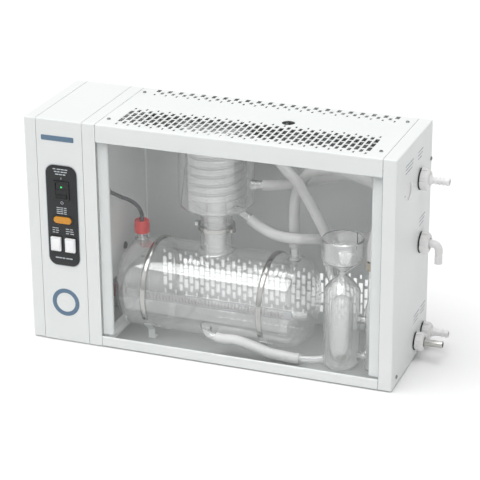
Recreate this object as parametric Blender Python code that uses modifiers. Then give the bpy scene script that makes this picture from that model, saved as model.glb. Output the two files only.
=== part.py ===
"""Glass water still in a sheet-steel housing, modelled as an assembly.

A boiler of borosilicate glass lies in a ventilated bay behind a clear front pane. Above it stands a
condenser with a glass cooling coil, beside it a constant-level vessel with a funnel and a float.
A control compartment is on the left, and the hose fittings are on the right side panel.

Metres, +Z up, front towards -Y. The origin is the centre of the overall footprint, on the surface
that the still stands on.
"""
import math

import bmesh
import bpy
from mathutils import Matrix, Vector

# ---------------------------------------------------------------- driving dimensions
HOUSING_WIDTH = 0.640
HOUSING_DEPTH = 0.208
HOUSING_HEIGHT = 0.400
NOZZLE_REACH = 0.049        # the longest hose nozzle, beyond the right side panel
BUTTON_REACH = 0.006        # the push buttons and the mains gland, beyond front and back
SHEET = 0.0015              # sheet steel thickness
GAP = 0.0003                # clearance between touching pieces
SEAM = 0.0008               # open seam between neighbouring covers
FOOT_HEIGHT = 0.0017
HOUSING_BASE = FOOT_HEIGHT + GAP

LEFT = -(HOUSING_WIDTH + NOZZLE_REACH) / 2
RIGHT = LEFT + HOUSING_WIDTH
FRONT = -HOUSING_DEPTH / 2
BACK = HOUSING_DEPTH / 2
TOP = HOUSING_HEIGHT
FLOOR_TOP = HOUSING_BASE + SHEET
ROOF_UNDERSIDE = TOP - SHEET

# seams between the covers, along X
CONTROL_LEFT = LEFT + 0.0222
CONTROL_RIGHT = LEFT + 0.1053
BAY_LEFT = LEFT + 0.1289
BAY_RIGHT = LEFT + 0.6166
PARTITION = LEFT + 0.1260   # face of the partition wall towards the bay
HEADER_BOTTOM = 0.3695
RAIL_TOP = 0.020
BEND = 0.0025               # outer bend radius of the sheet covers

# ventilation slots: three rows of columns, the same on the roof and on the back
SLOT_COLUMNS = 22
SLOT_PITCH_X = 0.02015
SLOT_PITCH = 0.020
SLOT_SIZE = (0.0065, 0.0172)
SLOT_FIRST = LEFT + 0.1604
ROOF_SLOTS_Y = FRONT + 0.057
BACK_SLOTS_Z = 0.064
ROOF_HOLE = (LEFT + 0.423, FRONT + 0.1134, 0.011)

# glassware
AXIS_Y = FRONT + 0.101      # the boiler and the condenser stand on one vertical plane
BOILER_Z = 0.090
BOILER_RADIUS = 0.0785
BOILER_LEFT = LEFT + 0.1268
BOILER_RIGHT = LEFT + 0.479
BOILER_DOME = 0.036
GLASS = 0.0030
CONDENSER_X = LEFT + 0.3008
CONDENSER_RADIUS = 0.0635
CONDENSER_BOTTOM = 0.246
CONDENSER_TOP = 0.392
NECK_RADIUS = 0.0270
NECK_RIM = 0.2082
SENSOR_X = LEFT + 0.1643
VENT_PORT_X = LEFT + 0.439
VENT_RIM = 0.1900
STRAP_X = (LEFT + 0.1955, LEFT + 0.403)
VESSEL_X = LEFT + 0.5358
VESSEL_Y = FRONT + 0.060
VESSEL_RADIUS = 0.0305
FUNNEL_RADIUS = 0.0350
FUNNEL_RIM = 0.2365
FLOAT_RADIUS = 0.0185
STANDPIPE_X = LEFT + 0.586
HOSE_RADIUS = 0.0088
ARM_RADIUS = 0.0072
ARM_BORE = 0.0052
HEATER_Z = 0.062
HEATER_RADIUS = 0.0080
HEATER_LEFT = LEFT + 0.1160
HEATER_RIGHT = LEFT + 0.4360
PROBE_END = 0.150
CABLE_RADIUS = 0.0033

# control panel
PANEL_X = LEFT + 0.06475
PANEL_Z = 0.2315
PANEL_SIZE = (0.056, 0.179)
PANEL_CORNER = 0.015
ROCKER_Z = 0.2775
ROCKER_SIZE = (0.0205, 0.0270)
BEZEL_SIZE = (0.0285, 0.0335)
RESET_Z = 0.2243
RESET_SIZE = (0.0325, 0.0120)
BUTTON_Z = 0.1810
BUTTON_SIZE = (0.0180, 0.0245)
BUTTON_OFFSET = 0.0131

BOARD_BACK = FRONT + 0.0256
CABLE_HOLE_Y = FRONT + 0.047
CABLE_HOLE_Z = 0.2670

# fittings on the right side panel: name, Y, Z, nut radius
FITTINGS = (
    ("inlet", FRONT + 0.139, 0.3215, 0.0190),
    ("distillate", FRONT + 0.151, 0.2060, 0.0190),
    ("overflow", FRONT + 0.181, 0.0330, 0.0163),
    ("drain", FRONT + 0.137, 0.0330, 0.0166),
)
NUT_LENGTH = 0.0140
NUT_START = RIGHT + 0.0024
NUT_BORE = 0.0090
NOZZLE_BORE = 0.0042
SPARE_PORT = (FRONT + 0.073, 0.3235)    # Y, Z
HOSE_END = RIGHT - 0.0160   # where the hoses meet the inner ends of the nozzles

# routes of the glass arms and of the probe cable, from the root to the open end
FEED_ROOT = ((LEFT + 0.3060, FRONT + 0.0400, 0.0585), (LEFT + 0.3082, FRONT + 0.0316, 0.0450))
FEED_ARM = [
    (LEFT + 0.3060, FRONT + 0.0420, 0.0610),
    (LEFT + 0.3066, FRONT + 0.0340, 0.0520),
    (LEFT + 0.3092, FRONT + 0.0308, 0.0440),
    (LEFT + 0.3150, FRONT + 0.0302, 0.0387),
    (LEFT + 0.3250, FRONT + 0.0302, 0.0374),
]
COOLING_IN_ARM = [
    Vector((CONDENSER_X + CONDENSER_RADIUS - 0.008, AXIS_Y, 0.2895)),
    Vector((CONDENSER_X + CONDENSER_RADIUS + 0.0030, AXIS_Y, 0.2897)),
    Vector((LEFT + 0.3840, AXIS_Y + 0.0015, 0.2910)),
]
COOLING_OUT_ARM = [
    Vector((CONDENSER_X + CONDENSER_RADIUS - 0.008, AXIS_Y - 0.0010, 0.3672)),
    Vector((CONDENSER_X + CONDENSER_RADIUS + 0.0050, AXIS_Y - 0.0025, 0.3668)),
    Vector((LEFT + 0.3810, AXIS_Y - 0.0050, 0.3642)),
]
DISTILLATE_ARM = [
    Vector((CONDENSER_X + 0.0280, AXIS_Y, 0.2520)),
    Vector((CONDENSER_X + 0.0385, AXIS_Y, 0.2425)),
    Vector((CONDENSER_X + 0.0610, AXIS_Y - 0.0040, 0.2304)),
]
FEED_OUT_ARM = [
    Vector((VESSEL_X - 0.0240, VESSEL_Y - 0.0060, 0.0175)),
    Vector((VESSEL_X - 0.0340, VESSEL_Y - 0.0090, 0.0160)),
    Vector((VESSEL_X - 0.0500, VESSEL_Y - 0.0140, 0.0152)),
    Vector((VESSEL_X - 0.0680, VESSEL_Y - 0.0180, 0.0156)),
]
RETURN_ARM = [
    Vector((VESSEL_X - 0.0140, VESSEL_Y + 0.0130, 0.1380)),
    Vector((VESSEL_X - 0.0230, VESSEL_Y + 0.0215, 0.1465)),
    Vector((VESSEL_X - 0.0300, VESSEL_Y + 0.0280, 0.1570)),
    Vector((VESSEL_X - 0.0335, VESSEL_Y + 0.0320, 0.1690)),
]
OVERFLOW_STUB = [
    Vector((VESSEL_X + 0.0012, VESSEL_Y + 0.0200, 0.1070)),
    Vector((VESSEL_X + 0.0014, VESSEL_Y + 0.0400, 0.1070)),
]
STANDPIPE_RIM = 0.2030
SENSOR_CABLE = [
    (SENSOR_X, AXIS_Y, 0.2003),
    (SENSOR_X, AXIS_Y - 0.0005, 0.2110),
    (SENSOR_X - 0.0013, AXIS_Y - 0.0075, 0.2240),
    (SENSOR_X - 0.0050, AXIS_Y - 0.0170, 0.2358),
    (SENSOR_X - 0.0108, AXIS_Y - 0.0290, 0.2461),
    (SENSOR_X - 0.0170, AXIS_Y - 0.0400, 0.2536),
    (SENSOR_X - 0.0240, AXIS_Y - 0.0485, 0.2605),
    (PARTITION + 0.0080, CABLE_HOLE_Y + 0.0010, CABLE_HOLE_Z - 0.0020),
    (PARTITION + 0.0030, CABLE_HOLE_Y, CABLE_HOLE_Z),
    (PARTITION - 0.0080, CABLE_HOLE_Y, CABLE_HOLE_Z),
    (PARTITION - 0.0180, CABLE_HOLE_Y - 0.0030, CABLE_HOLE_Z - 0.0040),
    (PARTITION - 0.0290, CABLE_HOLE_Y - 0.0090, CABLE_HOLE_Z - 0.0100),
    (PARTITION - 0.0370, CABLE_HOLE_Y - 0.0150, CABLE_HOLE_Z - 0.0130),
    (PARTITION - 0.0380, BOARD_BACK + 0.0018, CABLE_HOLE_Z - 0.0135),
]

SEGMENTS = 24

# ---------------------------------------------------------------- scene and collections
for old in list(bpy.data.objects):
    bpy.data.objects.remove(old, do_unlink=True)

parts = bpy.data.collections.new("glass_water_still")
cutters = bpy.data.collections.new("cutters")
bpy.context.scene.collection.children.link(parts)
bpy.context.scene.collection.children.link(cutters)


def material(name, colour, roughness, metallic=0.0, alpha=1.0):
    """Make a Principled material."""
    made = bpy.data.materials.new(name)
    made.use_nodes = True
    shader = made.node_tree.nodes["Principled BSDF"]
    shader.inputs["Base Color"].default_value = (*colour, 1.0)
    shader.inputs["Roughness"].default_value = roughness
    shader.inputs["Metallic"].default_value = metallic
    shader.inputs["Alpha"].default_value = alpha
    made.diffuse_color = (*colour, alpha)
    return made


POWDER_COAT = material("powder_coat", (0.82, 0.84, 0.83), 0.45)
INNER_STEEL = material("inner_steel", (0.62, 0.63, 0.63), 0.5)
CLEAR_PANE = material("clear_pane", (0.85, 0.88, 0.88), 0.05, alpha=0.3)
GLASS_CLEAR = material("borosilicate", (0.86, 0.89, 0.89), 0.03, alpha=0.35)
SILICONE = material("silicone_hose", (0.80, 0.80, 0.79), 0.45)
STAINLESS = material("stainless", (0.62, 0.61, 0.59), 0.22, metallic=1.0)
WHITE_PLASTIC = material("white_plastic", (0.80, 0.79, 0.79), 0.4)
BLACK_PLASTIC = material("black_plastic", (0.03, 0.03, 0.03), 0.4)
KEY_WHITE = material("key_white", (0.88, 0.89, 0.90), 0.35)
KEY_ORANGE = material("key_orange", (0.86, 0.42, 0.04), 0.35)
CAP_RED = material("cap_red", (0.70, 0.10, 0.10), 0.4)
RUBBER = material("black_rubber", (0.04, 0.04, 0.04), 0.7)
CABLE_GREY = material("cable_grey", (0.12, 0.13, 0.13), 0.5)
TAN_COLLAR = material("tan_collar", (0.62, 0.57, 0.47), 0.5)
BOARD_GREEN = material("board_green", (0.05, 0.22, 0.11), 0.5)
QUARTZ = material("quartz", (0.80, 0.82, 0.82), 0.15, alpha=0.5)


# ---------------------------------------------------------------- modelling helpers
def add_object(name, data, look, collection=parts):
    """Link a new object and give it its material."""
    made = bpy.data.objects.new(name, data)
    collection.objects.link(made)
    if look is not None:
        data.materials.append(look)
    return made


def as_cutter(made):
    """Mark an object as a tool that the assembly leaves out."""
    made.hide_render = True
    made.display_type = "WIRE"


def smooth(made, angle=40.0):
    """Shade a mesh smooth except at its sharp edges."""
    made.data.shade_smooth()
    made.data.set_sharp_from_angle(angle=math.radians(angle))


def box(name, low, high, look, bevel=0.0, collection=parts):
    """A box between two corners, its origin at its centre."""
    low = Vector(low)
    high = Vector(high)
    mesh = bpy.data.meshes.new(name)
    shape = bmesh.new()
    bmesh.ops.create_cube(shape, size=1.0)
    bmesh.ops.scale(shape, vec=high - low, verts=shape.verts)
    shape.to_mesh(mesh)
    shape.free()
    made = add_object(name, mesh, look, collection)
    made.location = (low + high) / 2
    if bevel > 0.0:
        edge = made.modifiers.new("edges", "BEVEL")
        edge.width = bevel
        edge.segments = 2
        edge.limit_method = "ANGLE"
    return made


def rod(name, start, end, radius, look, collection=parts, segments=SEGMENTS, end_radius=None):
    """A solid cylinder, or a cone with another radius at its end, between two points."""
    start = Vector(start)
    end = Vector(end)
    mesh = bpy.data.meshes.new(name)
    shape = bmesh.new()
    bmesh.ops.create_cone(shape, cap_ends=True, segments=segments, radius1=radius,
                          radius2=radius if end_radius is None else end_radius, depth=(end - start).length)
    shape.to_mesh(mesh)
    shape.free()
    made = add_object(name, mesh, look, collection)
    made.location = (start + end) / 2
    made.rotation_euler = (end - start).to_track_quat("Z", "Y").to_euler()
    smooth(made)
    return made


def turned(name, profile, look, location, along="Z", segments=SEGMENTS, collection=parts, closed=False):
    """Turn a profile of (radius, height) points, listed down the outer side, about an axis.

    A closed profile comes back up the inner side, and an open one starts and ends on the axis.
    """
    mesh = bpy.data.meshes.new(name)
    shape = bmesh.new()
    corners = [shape.verts.new((radius, 0.0, height)) for radius, height in profile]
    for first, second in zip(corners, corners[1:]):
        shape.edges.new((first, second))
    if closed:
        shape.edges.new((corners[-1], corners[0]))
    shape.to_mesh(mesh)
    shape.free()
    made = add_object(name, mesh, look, collection)
    made.location = location
    if along == "X":
        made.rotation_euler = (0.0, math.pi / 2, 0.0)
    if along == "Y":
        made.rotation_euler = (-math.pi / 2, 0.0, 0.0)
    screw = made.modifiers.new("turn", "SCREW")
    screw.axis = "Z"
    screw.steps = segments
    screw.render_steps = segments
    screw.use_merge_vertices = True
    screw.merge_threshold = 0.00001
    screw.use_smooth_shade = True
    return made


def ring(name, outer, inner, low, high, look, location, along="Z", segments=SEGMENTS):
    """A plain ring or tube between two heights."""
    profile = [(outer, high), (outer, low), (inner, low), (inner, high)]
    return turned(name, profile, look, location, along, segments, closed=True)


def smooth_route(points, spacing):
    """Points at an even spacing on a Catmull-Rom curve through a route's own points."""
    route = [Vector(point) for point in points]
    route = [route[0] * 2 - route[1]] + route + [route[-1] * 2 - route[-2]]
    dense = []
    for a, b, c, d in zip(route, route[1:], route[2:], route[3:]):
        for step in range(20):
            t = step / 20
            dense.append(0.5 * (2 * b + (c - a) * t + (2 * a - 5 * b + 4 * c - d) * t * t
                                + (3 * b - a - 3 * c + d) * t * t * t))
    dense.append(route[-2])
    length = sum((b - a).length for a, b in zip(dense, dense[1:]))
    count = max(2, round(length / spacing))
    even = [dense[0]]
    walked = 0.0
    for a, b in zip(dense, dense[1:]):
        walked += (b - a).length
        if walked >= length * len(even) / count - 1e-7 and len(even) < count:
            even.append(b)
    even.append(dense[-1])
    return even


def tube(name, points, radius, look, resolution=2, collection=parts):
    """A solid round tube along a list of points."""
    curve = bpy.data.curves.new(name, "CURVE")
    curve.dimensions = "3D"
    curve.bevel_depth = radius
    curve.bevel_resolution = resolution
    curve.use_fill_caps = True
    spline = curve.splines.new("POLY")
    spline.points.add(len(points) - 1)
    for knot, point in zip(spline.points, points):
        knot.co = (*point, 1.0)
    return add_object(name, curve, look, collection)


def meshed(curve_object, collection):
    """Replace a curve object by its welded mesh, so that it can be cut or be a cutter."""
    graph = bpy.context.evaluated_depsgraph_get()
    mesh = bpy.data.meshes.new_from_object(curve_object.evaluated_get(graph))
    shape = bmesh.new()
    shape.from_mesh(mesh)
    bmesh.ops.remove_doubles(shape, verts=shape.verts, dist=0.00001)
    shape.to_mesh(mesh)
    shape.free()
    name = curve_object.name
    made = bpy.data.objects.new(name + "_mesh", mesh)
    collection.objects.link(made)
    made.matrix_world = curve_object.matrix_world.copy()
    bpy.data.objects.remove(curve_object, do_unlink=True)
    made.name = name
    return made


def arm_cutter(name, points, radius):
    """A round tool along a path, as a closed mesh, for a glass arm or for its bore."""
    tool = tube(name, points, radius, None, collection=cutters)
    tool = meshed(tool, cutters)
    as_cutter(tool)
    return tool


def combine(target, tool, operation):
    """Add or cut a tool with a Boolean modifier."""
    change = target.modifiers.new(tool.name, "BOOLEAN")
    change.operation = operation
    change.solver = "EXACT"
    change.object = tool


def cut_box(target, name, low, high):
    """Cut a box out of a target."""
    tool = box(name, low, high, None, collection=cutters)
    as_cutter(tool)
    combine(target, tool, "DIFFERENCE")


def cut_rod(target, name, start, end, radius):
    """Cut a round hole in a target."""
    tool = rod(name, start, end, radius, None, collection=cutters)
    as_cutter(tool)
    combine(target, tool, "DIFFERENCE")


def rounded_path(corners, radius, steps=3):
    """A path of (a, b) points with its inner corners replaced by arcs."""
    path = [Vector(corners[0])]
    for before, corner, after in zip(corners, corners[1:], corners[2:]):
        corner = Vector(corner)
        back = (Vector(before) - corner).normalized()
        ahead = (Vector(after) - corner).normalized()
        half = back.angle(ahead) / 2
        reach = radius / math.tan(half)
        centre = corner + (back + ahead).normalized() * (radius / math.sin(half))
        start = corner + back * reach - centre
        turn = start.angle_signed(corner + ahead * reach - centre)
        for step in range(steps + 1):
            path.append(centre + Matrix.Rotation(-turn * step / steps, 2) @ start)
    path.append(Vector(corners[-1]))
    return path


def bent_sheet(name, corners, plane, low, high, look, inward=-1.0, radius=BEND):
    """A bent sheet: a path in the YZ, XZ or XY plane, drawn out along the third axis, made SHEET thick."""
    mesh = bpy.data.meshes.new(name)
    shape = bmesh.new()
    rows = []
    for a, b in rounded_path(corners, radius):
        places = {"YZ": [(low, a, b), (high, a, b)], "XZ": [(a, low, b), (a, high, b)],
                  "XY": [(a, b, low), (a, b, high)]}
        rows.append([shape.verts.new(place) for place in places[plane]])
    for first, second in zip(rows, rows[1:]):
        shape.faces.new((first[0], first[1], second[1], second[0]))
    shape.to_mesh(mesh)
    shape.free()
    made = add_object(name, mesh, look)
    shell = made.modifiers.new("thickness", "SOLIDIFY")
    shell.thickness = SHEET
    shell.offset = inward
    shell.use_even_offset = True
    return made


def open_tray(name, low, high, open_side, look):
    """A folded tray with rounded edges, open towards one side along X."""
    low = Vector(low)
    high = Vector(high)
    mesh = bpy.data.meshes.new(name)
    shape = bmesh.new()
    bmesh.ops.create_cube(shape, size=1.0)
    bmesh.ops.scale(shape, vec=high - low, verts=shape.verts)
    bmesh.ops.translate(shape, vec=(low + high) / 2, verts=shape.verts)
    lid = [face for face in shape.faces if face.normal.x * open_side > 0.9]
    bmesh.ops.delete(shape, geom=lid, context="FACES")
    folds = [edge for edge in shape.edges if not edge.is_boundary]
    bmesh.ops.bevel(shape, geom=folds, offset=BEND, segments=3, affect="EDGES", profile=0.5)
    shape.to_mesh(mesh)
    shape.free()
    made = add_object(name, mesh, look)
    shell = made.modifiers.new("thickness", "SOLIDIFY")
    shell.thickness = SHEET
    shell.offset = -1.0
    shell.use_even_offset = True
    return made


def rounded_plate(name, centre, size, corner, thickness, look, collection=parts):
    """A flat plate with rounded corners in the XZ plane, its back on the centre point."""
    curve = bpy.data.curves.new(name, "CURVE")
    curve.dimensions = "2D"
    curve.fill_mode = "BOTH"
    curve.extrude = thickness / 2
    half_width = size[0] / 2 - corner
    half_height = size[1] / 2 - corner
    outline = []
    for quarter, (sx, sz) in enumerate(((1, 1), (-1, 1), (-1, -1), (1, -1))):
        for step in range(6):
            angle = math.radians(90 * quarter + 18 * step)
            outline.append((sx * half_width + corner * math.cos(angle),
                            sz * half_height + corner * math.sin(angle)))
    spline = curve.splines.new("POLY")
    spline.points.add(len(outline) - 1)
    for knot, (x, z) in zip(spline.points, outline):
        knot.co = (x, z, 0.0, 1.0)
    spline.use_cyclic_u = True
    made = add_object(name, curve, look, collection)
    made.location = Vector(centre) + Vector((0.0, -thickness / 2, 0.0))
    made.rotation_euler = (math.pi / 2, 0.0, 0.0)
    bpy.context.view_layer.update()
    return meshed(made, collection)


# ---------------------------------------------------------------- housing
def slot_tool(name, places, centre_of, half_depth, depth_axis):
    """One tool with a box for each ventilation slot."""
    mesh = bpy.data.meshes.new(name)
    shape = bmesh.new()
    for along, across in places:
        centre = Vector(centre_of(along, across))
        if depth_axis == "Z":
            size = Vector((SLOT_SIZE[0], SLOT_SIZE[1], 2 * half_depth))
        else:
            size = Vector((SLOT_SIZE[0], 2 * half_depth, SLOT_SIZE[1]))
        made = bmesh.ops.create_cube(shape, size=1.0)
        bmesh.ops.scale(shape, vec=size, verts=made["verts"])
        bmesh.ops.translate(shape, vec=centre, verts=made["verts"])
    shape.to_mesh(mesh)
    shape.free()
    tool = add_object(name, mesh, None, cutters)
    as_cutter(tool)
    return tool


def slot_places():
    """Column X and offset across the band for every full-size slot."""
    places = []
    for column in range(SLOT_COLUMNS):
        for row in (-1.0, 0.0, 1.0):
            places.append((SLOT_FIRST + SLOT_PITCH_X * column, SLOT_PITCH * row))
    return places


def make_covers():
    """The sheet-steel covers, the floor and the walls."""
    open_tray("left_side_panel", (LEFT, FRONT, HOUSING_BASE), (CONTROL_LEFT - SEAM, BACK, TOP), 1, POWDER_COAT)
    right = open_tray("right_side_panel", (BAY_RIGHT + SEAM, FRONT, HOUSING_BASE), (RIGHT, BACK, TOP), -1,
                      POWDER_COAT)
    for name, y, z, _ in FITTINGS:
        cut_rod(right, "panel_hole_" + name, (RIGHT - 0.01, y, z), (RIGHT + 0.01, y, z), 0.0098)
    cut_rod(right, "panel_hole_port", (RIGHT - 0.01, *SPARE_PORT), (RIGHT + 0.01, *SPARE_PORT), 0.0145)

    hood = [(FRONT, HOUSING_BASE), (FRONT, TOP), (BACK, TOP), (BACK, HOUSING_BASE)]
    control = bent_sheet("control_cover", hood, "YZ", CONTROL_LEFT, CONTROL_RIGHT - SEAM, POWDER_COAT)
    cut_box(control, "control_window", (PANEL_X - 0.023, FRONT - 0.01, 0.160),
            (PANEL_X + 0.023, FRONT + 0.01, 0.300))
    cut_rod(control, "gland_hole", (PANEL_X, BACK - 0.01, 0.060), (PANEL_X, BACK + 0.01, 0.060), 0.0084)
    bent_sheet("post_cover", hood, "YZ", CONTROL_RIGHT, BAY_LEFT - SEAM, POWDER_COAT)

    roof_path = [(FRONT, HEADER_BOTTOM), (FRONT, TOP), (BACK, TOP), (BACK, TOP - 0.014)]
    roof = bent_sheet("top_cover", roof_path, "YZ", BAY_LEFT, BAY_RIGHT, POWDER_COAT)
    roof_slots = slot_tool("roof_slots", slot_places(), lambda x, y: (x, ROOF_SLOTS_Y + y, TOP), 0.004, "Z")
    combine(roof, roof_slots, "DIFFERENCE")
    cut_rod(roof, "roof_hole", (ROOF_HOLE[0], ROOF_HOLE[1], TOP - 0.01),
            (ROOF_HOLE[0], ROOF_HOLE[1], TOP + 0.01), ROOF_HOLE[2])

    back_face = BACK - GAP
    back = box("back_panel", (BAY_LEFT, back_face - SHEET, HOUSING_BASE),
               (BAY_RIGHT, back_face, TOP - 0.014 - GAP), POWDER_COAT)
    back_slots = slot_tool("back_slots", slot_places(),
                           lambda x, z: (x, back_face - SHEET / 2, BACK_SLOTS_Z + z), 0.004, "Y")
    combine(back, back_slots, "DIFFERENCE")

    floor_path = [(FRONT + 0.0024, RAIL_TOP), (FRONT, RAIL_TOP), (FRONT, HOUSING_BASE),
                  (BACK - 0.0024, HOUSING_BASE)]
    floor = bent_sheet("floor_pan", floor_path, "YZ", CONTROL_LEFT + GAP, BAY_RIGHT - GAP, POWDER_COAT,
                       inward=1.0, radius=0.0020)
    cut_box(floor, "rail_end", (LEFT, FRONT - 0.01, 0.0), (BAY_LEFT, FRONT + SHEET + GAP, 0.05))
    cut_box(floor, "rail_end_return", (LEFT, FRONT - 0.01, 0.010), (BAY_LEFT, FRONT + 0.01, 0.05))

    wall_foot = FLOOR_TOP + GAP + SHEET
    wall_path = [(PARTITION + 0.010, wall_foot), (PARTITION, wall_foot), (PARTITION, ROOF_UNDERSIDE - 0.0012)]
    wall = bent_sheet("partition_wall", wall_path, "XZ", FRONT + SHEET + GAP, BACK - SHEET - 2 * GAP,
                      INNER_STEEL, radius=0.0010)
    cut_box(wall, "heater_window", (PARTITION - 0.01, FRONT + 0.030, 0.019),
            (PARTITION + 0.006, FRONT + 0.172, 0.102))
    cut_box(wall, "pane_notch", (PARTITION + GAP, FRONT - 0.01, 0.0), (PARTITION + 0.02, FRONT + 0.008, 0.01))
    cut_rod(wall, "cable_window", (PARTITION - 0.01, CABLE_HOLE_Y, CABLE_HOLE_Z),
            (PARTITION + 0.01, CABLE_HOLE_Y, CABLE_HOLE_Z), 0.0058)


def make_jambs_and_pane():
    """The two strips that stop the pane, and the clear pane that lifts behind the header."""
    strip = 0.0167
    jamb_low = RAIL_TOP + 0.0025
    jamb_high = ROOF_UNDERSIDE - GAP
    for name, outer, side in (("left_jamb", BAY_LEFT + GAP, 1), ("right_jamb", BAY_RIGHT - GAP, -1)):
        inner = outer + side * strip
        path = [(outer, FRONT + 0.0082), (inner, FRONT + 0.0096), (inner, FRONT + 0.0126)]
        bent_sheet(name, path, "XY", jamb_low, jamb_high, POWDER_COAT, inward=float(-side), radius=0.0016)
    box("front_pane", (BAY_LEFT + 0.0006, FRONT + 0.0032, FLOOR_TOP + GAP),
        (BAY_RIGHT - 0.0006, FRONT + 0.0062, 0.380), CLEAR_PANE)


def make_feet():
    """Four flat rubber pads under the floor."""
    for side_x, x in (("left", LEFT + 0.045), ("right", BAY_RIGHT - 0.030)):
        for side_y, y in (("front", FRONT + 0.030), ("back", BACK - 0.030)):
            rod(f"foot_{side_y}_{side_x}", (x, y, 0.0), (x, y, FOOT_HEIGHT), 0.010, RUBBER, segments=24)


# ---------------------------------------------------------------- control panel
def make_control_panel():
    """The black panel with its rocker switch, its reset button and its two push buttons."""
    face = FRONT - GAP
    plate = rounded_plate("control_plate", (PANEL_X, face, PANEL_Z), PANEL_SIZE, PANEL_CORNER, 0.0012,
                          BLACK_PLASTIC)
    clear = 0.0004
    keys = (
        ("rocker", PANEL_X, ROCKER_Z, ROCKER_SIZE),
        ("reset", PANEL_X, RESET_Z, RESET_SIZE),
        ("left_button", PANEL_X - BUTTON_OFFSET, BUTTON_Z, BUTTON_SIZE),
        ("right_button", PANEL_X + BUTTON_OFFSET, BUTTON_Z, BUTTON_SIZE),
    )
    for name, x, z, size in keys:
        cut_box(plate, "plate_" + name, (x - size[0] / 2 - clear, FRONT - 0.01, z - size[1] / 2 - clear),
                (x + size[0] / 2 + clear, FRONT + 0.01, z + size[1] / 2 + clear))

    bezel = box("rocker_bezel", (PANEL_X - BEZEL_SIZE[0] / 2, FRONT - 0.0034, ROCKER_Z - BEZEL_SIZE[1] / 2),
                (PANEL_X + BEZEL_SIZE[0] / 2, FRONT - 0.0018, ROCKER_Z + BEZEL_SIZE[1] / 2), BLACK_PLASTIC)
    cut_box(bezel, "bezel_window",
            (PANEL_X - ROCKER_SIZE[0] / 2 - clear, FRONT - 0.02, ROCKER_Z - ROCKER_SIZE[1] / 2 - clear),
            (PANEL_X + ROCKER_SIZE[0] / 2 + clear, FRONT + 0.02, ROCKER_Z + ROCKER_SIZE[1] / 2 + clear))
    make_rocker()

    box("left_button", (PANEL_X - BUTTON_OFFSET - BUTTON_SIZE[0] / 2, FRONT - BUTTON_REACH,
                        BUTTON_Z - BUTTON_SIZE[1] / 2),
        (PANEL_X - BUTTON_OFFSET + BUTTON_SIZE[0] / 2, FRONT + 0.006, BUTTON_Z + BUTTON_SIZE[1] / 2),
        KEY_WHITE, bevel=0.0006)
    box("right_button", (PANEL_X + BUTTON_OFFSET - BUTTON_SIZE[0] / 2, FRONT - BUTTON_REACH,
                         BUTTON_Z - BUTTON_SIZE[1] / 2),
        (PANEL_X + BUTTON_OFFSET + BUTTON_SIZE[0] / 2, FRONT + 0.006, BUTTON_Z + BUTTON_SIZE[1] / 2),
        KEY_WHITE, bevel=0.0006)
    rounded_plate("reset_button", (PANEL_X, FRONT + 0.005, RESET_Z), RESET_SIZE, RESET_SIZE[1] / 2 - 0.0001,
                  0.0085, KEY_ORANGE)


def make_rocker():
    """The rocker: a two-faced key that tilts about an axis just inside the panel."""
    outline = [(-0.0022, 0.0130), (-0.0030, 0.0), (-0.0058, -0.0124), (0.0040, -0.0110), (0.0060, 0.0),
               (0.0040, 0.0110)]
    mesh = bpy.data.meshes.new("rocker_switch")
    shape = bmesh.new()
    low = [shape.verts.new((-ROCKER_SIZE[0] / 2, y, z)) for y, z in outline]
    side = shape.faces.new(low)
    drawn = bmesh.ops.extrude_face_region(shape, geom=[side])
    moved = [item for item in drawn["geom"] if isinstance(item, bmesh.types.BMVert)]
    bmesh.ops.translate(shape, vec=(ROCKER_SIZE[0], 0.0, 0.0), verts=moved)
    bmesh.ops.recalc_face_normals(shape, faces=shape.faces)
    shape.to_mesh(mesh)
    shape.free()
    made = add_object("rocker_switch", mesh, BLACK_PLASTIC)
    made.location = (PANEL_X, FRONT, ROCKER_Z)


def make_compartment():
    """What the control compartment holds: board, terminals, temperature limiter and mains gland."""
    middle = (CONTROL_LEFT + PARTITION) / 2
    box("control_board", (PANEL_X - 0.030, BOARD_BACK - 0.0016, 0.150), (PANEL_X + 0.030, BOARD_BACK, 0.310),
        BOARD_GREEN)
    box("terminal_block", (middle - 0.032, BACK - 0.050, FLOOR_TOP + GAP), (middle + 0.020, BACK - 0.028, 0.024),
        WHITE_PLASTIC)
    box("temperature_limiter", (PARTITION - SHEET - GAP - 0.030, AXIS_Y - 0.022, 0.170),
        (PARTITION - SHEET - GAP, AXIS_Y + 0.022, 0.226), BLACK_PLASTIC, bevel=0.001)
    nut = BUTTON_REACH
    gland = [(0.0, 0.0), (0.0115, 0.0), (0.0125, -0.0012), (0.0125, -nut + GAP), (0.0080, -nut + GAP),
             (0.0080, -0.0240), (0.0, -0.0240)]
    made = turned("mains_gland", gland, BLACK_PLASTIC, (PANEL_X, BACK + nut, 0.060), "Y", segments=16)
    cut_rod(made, "gland_bore", (PANEL_X, BACK - 0.03, 0.060), (PANEL_X, BACK + 0.03, 0.060), 0.0042)


# ---------------------------------------------------------------- glassware
def dome_profile(radius, low, high, depth, steps=4):
    """A closed cylinder with elliptical ends, as (radius, height) points from top to bottom."""
    points = []
    for step in range(steps + 1):
        angle = math.pi / 2 * step / steps
        points.append((radius * math.sin(angle), high - depth + depth * math.cos(angle)))
    for step in range(steps + 1):
        angle = math.pi / 2 * (1 - step / steps)
        points.append((radius * math.sin(angle), low + depth - depth * math.cos(angle)))
    return points


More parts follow.
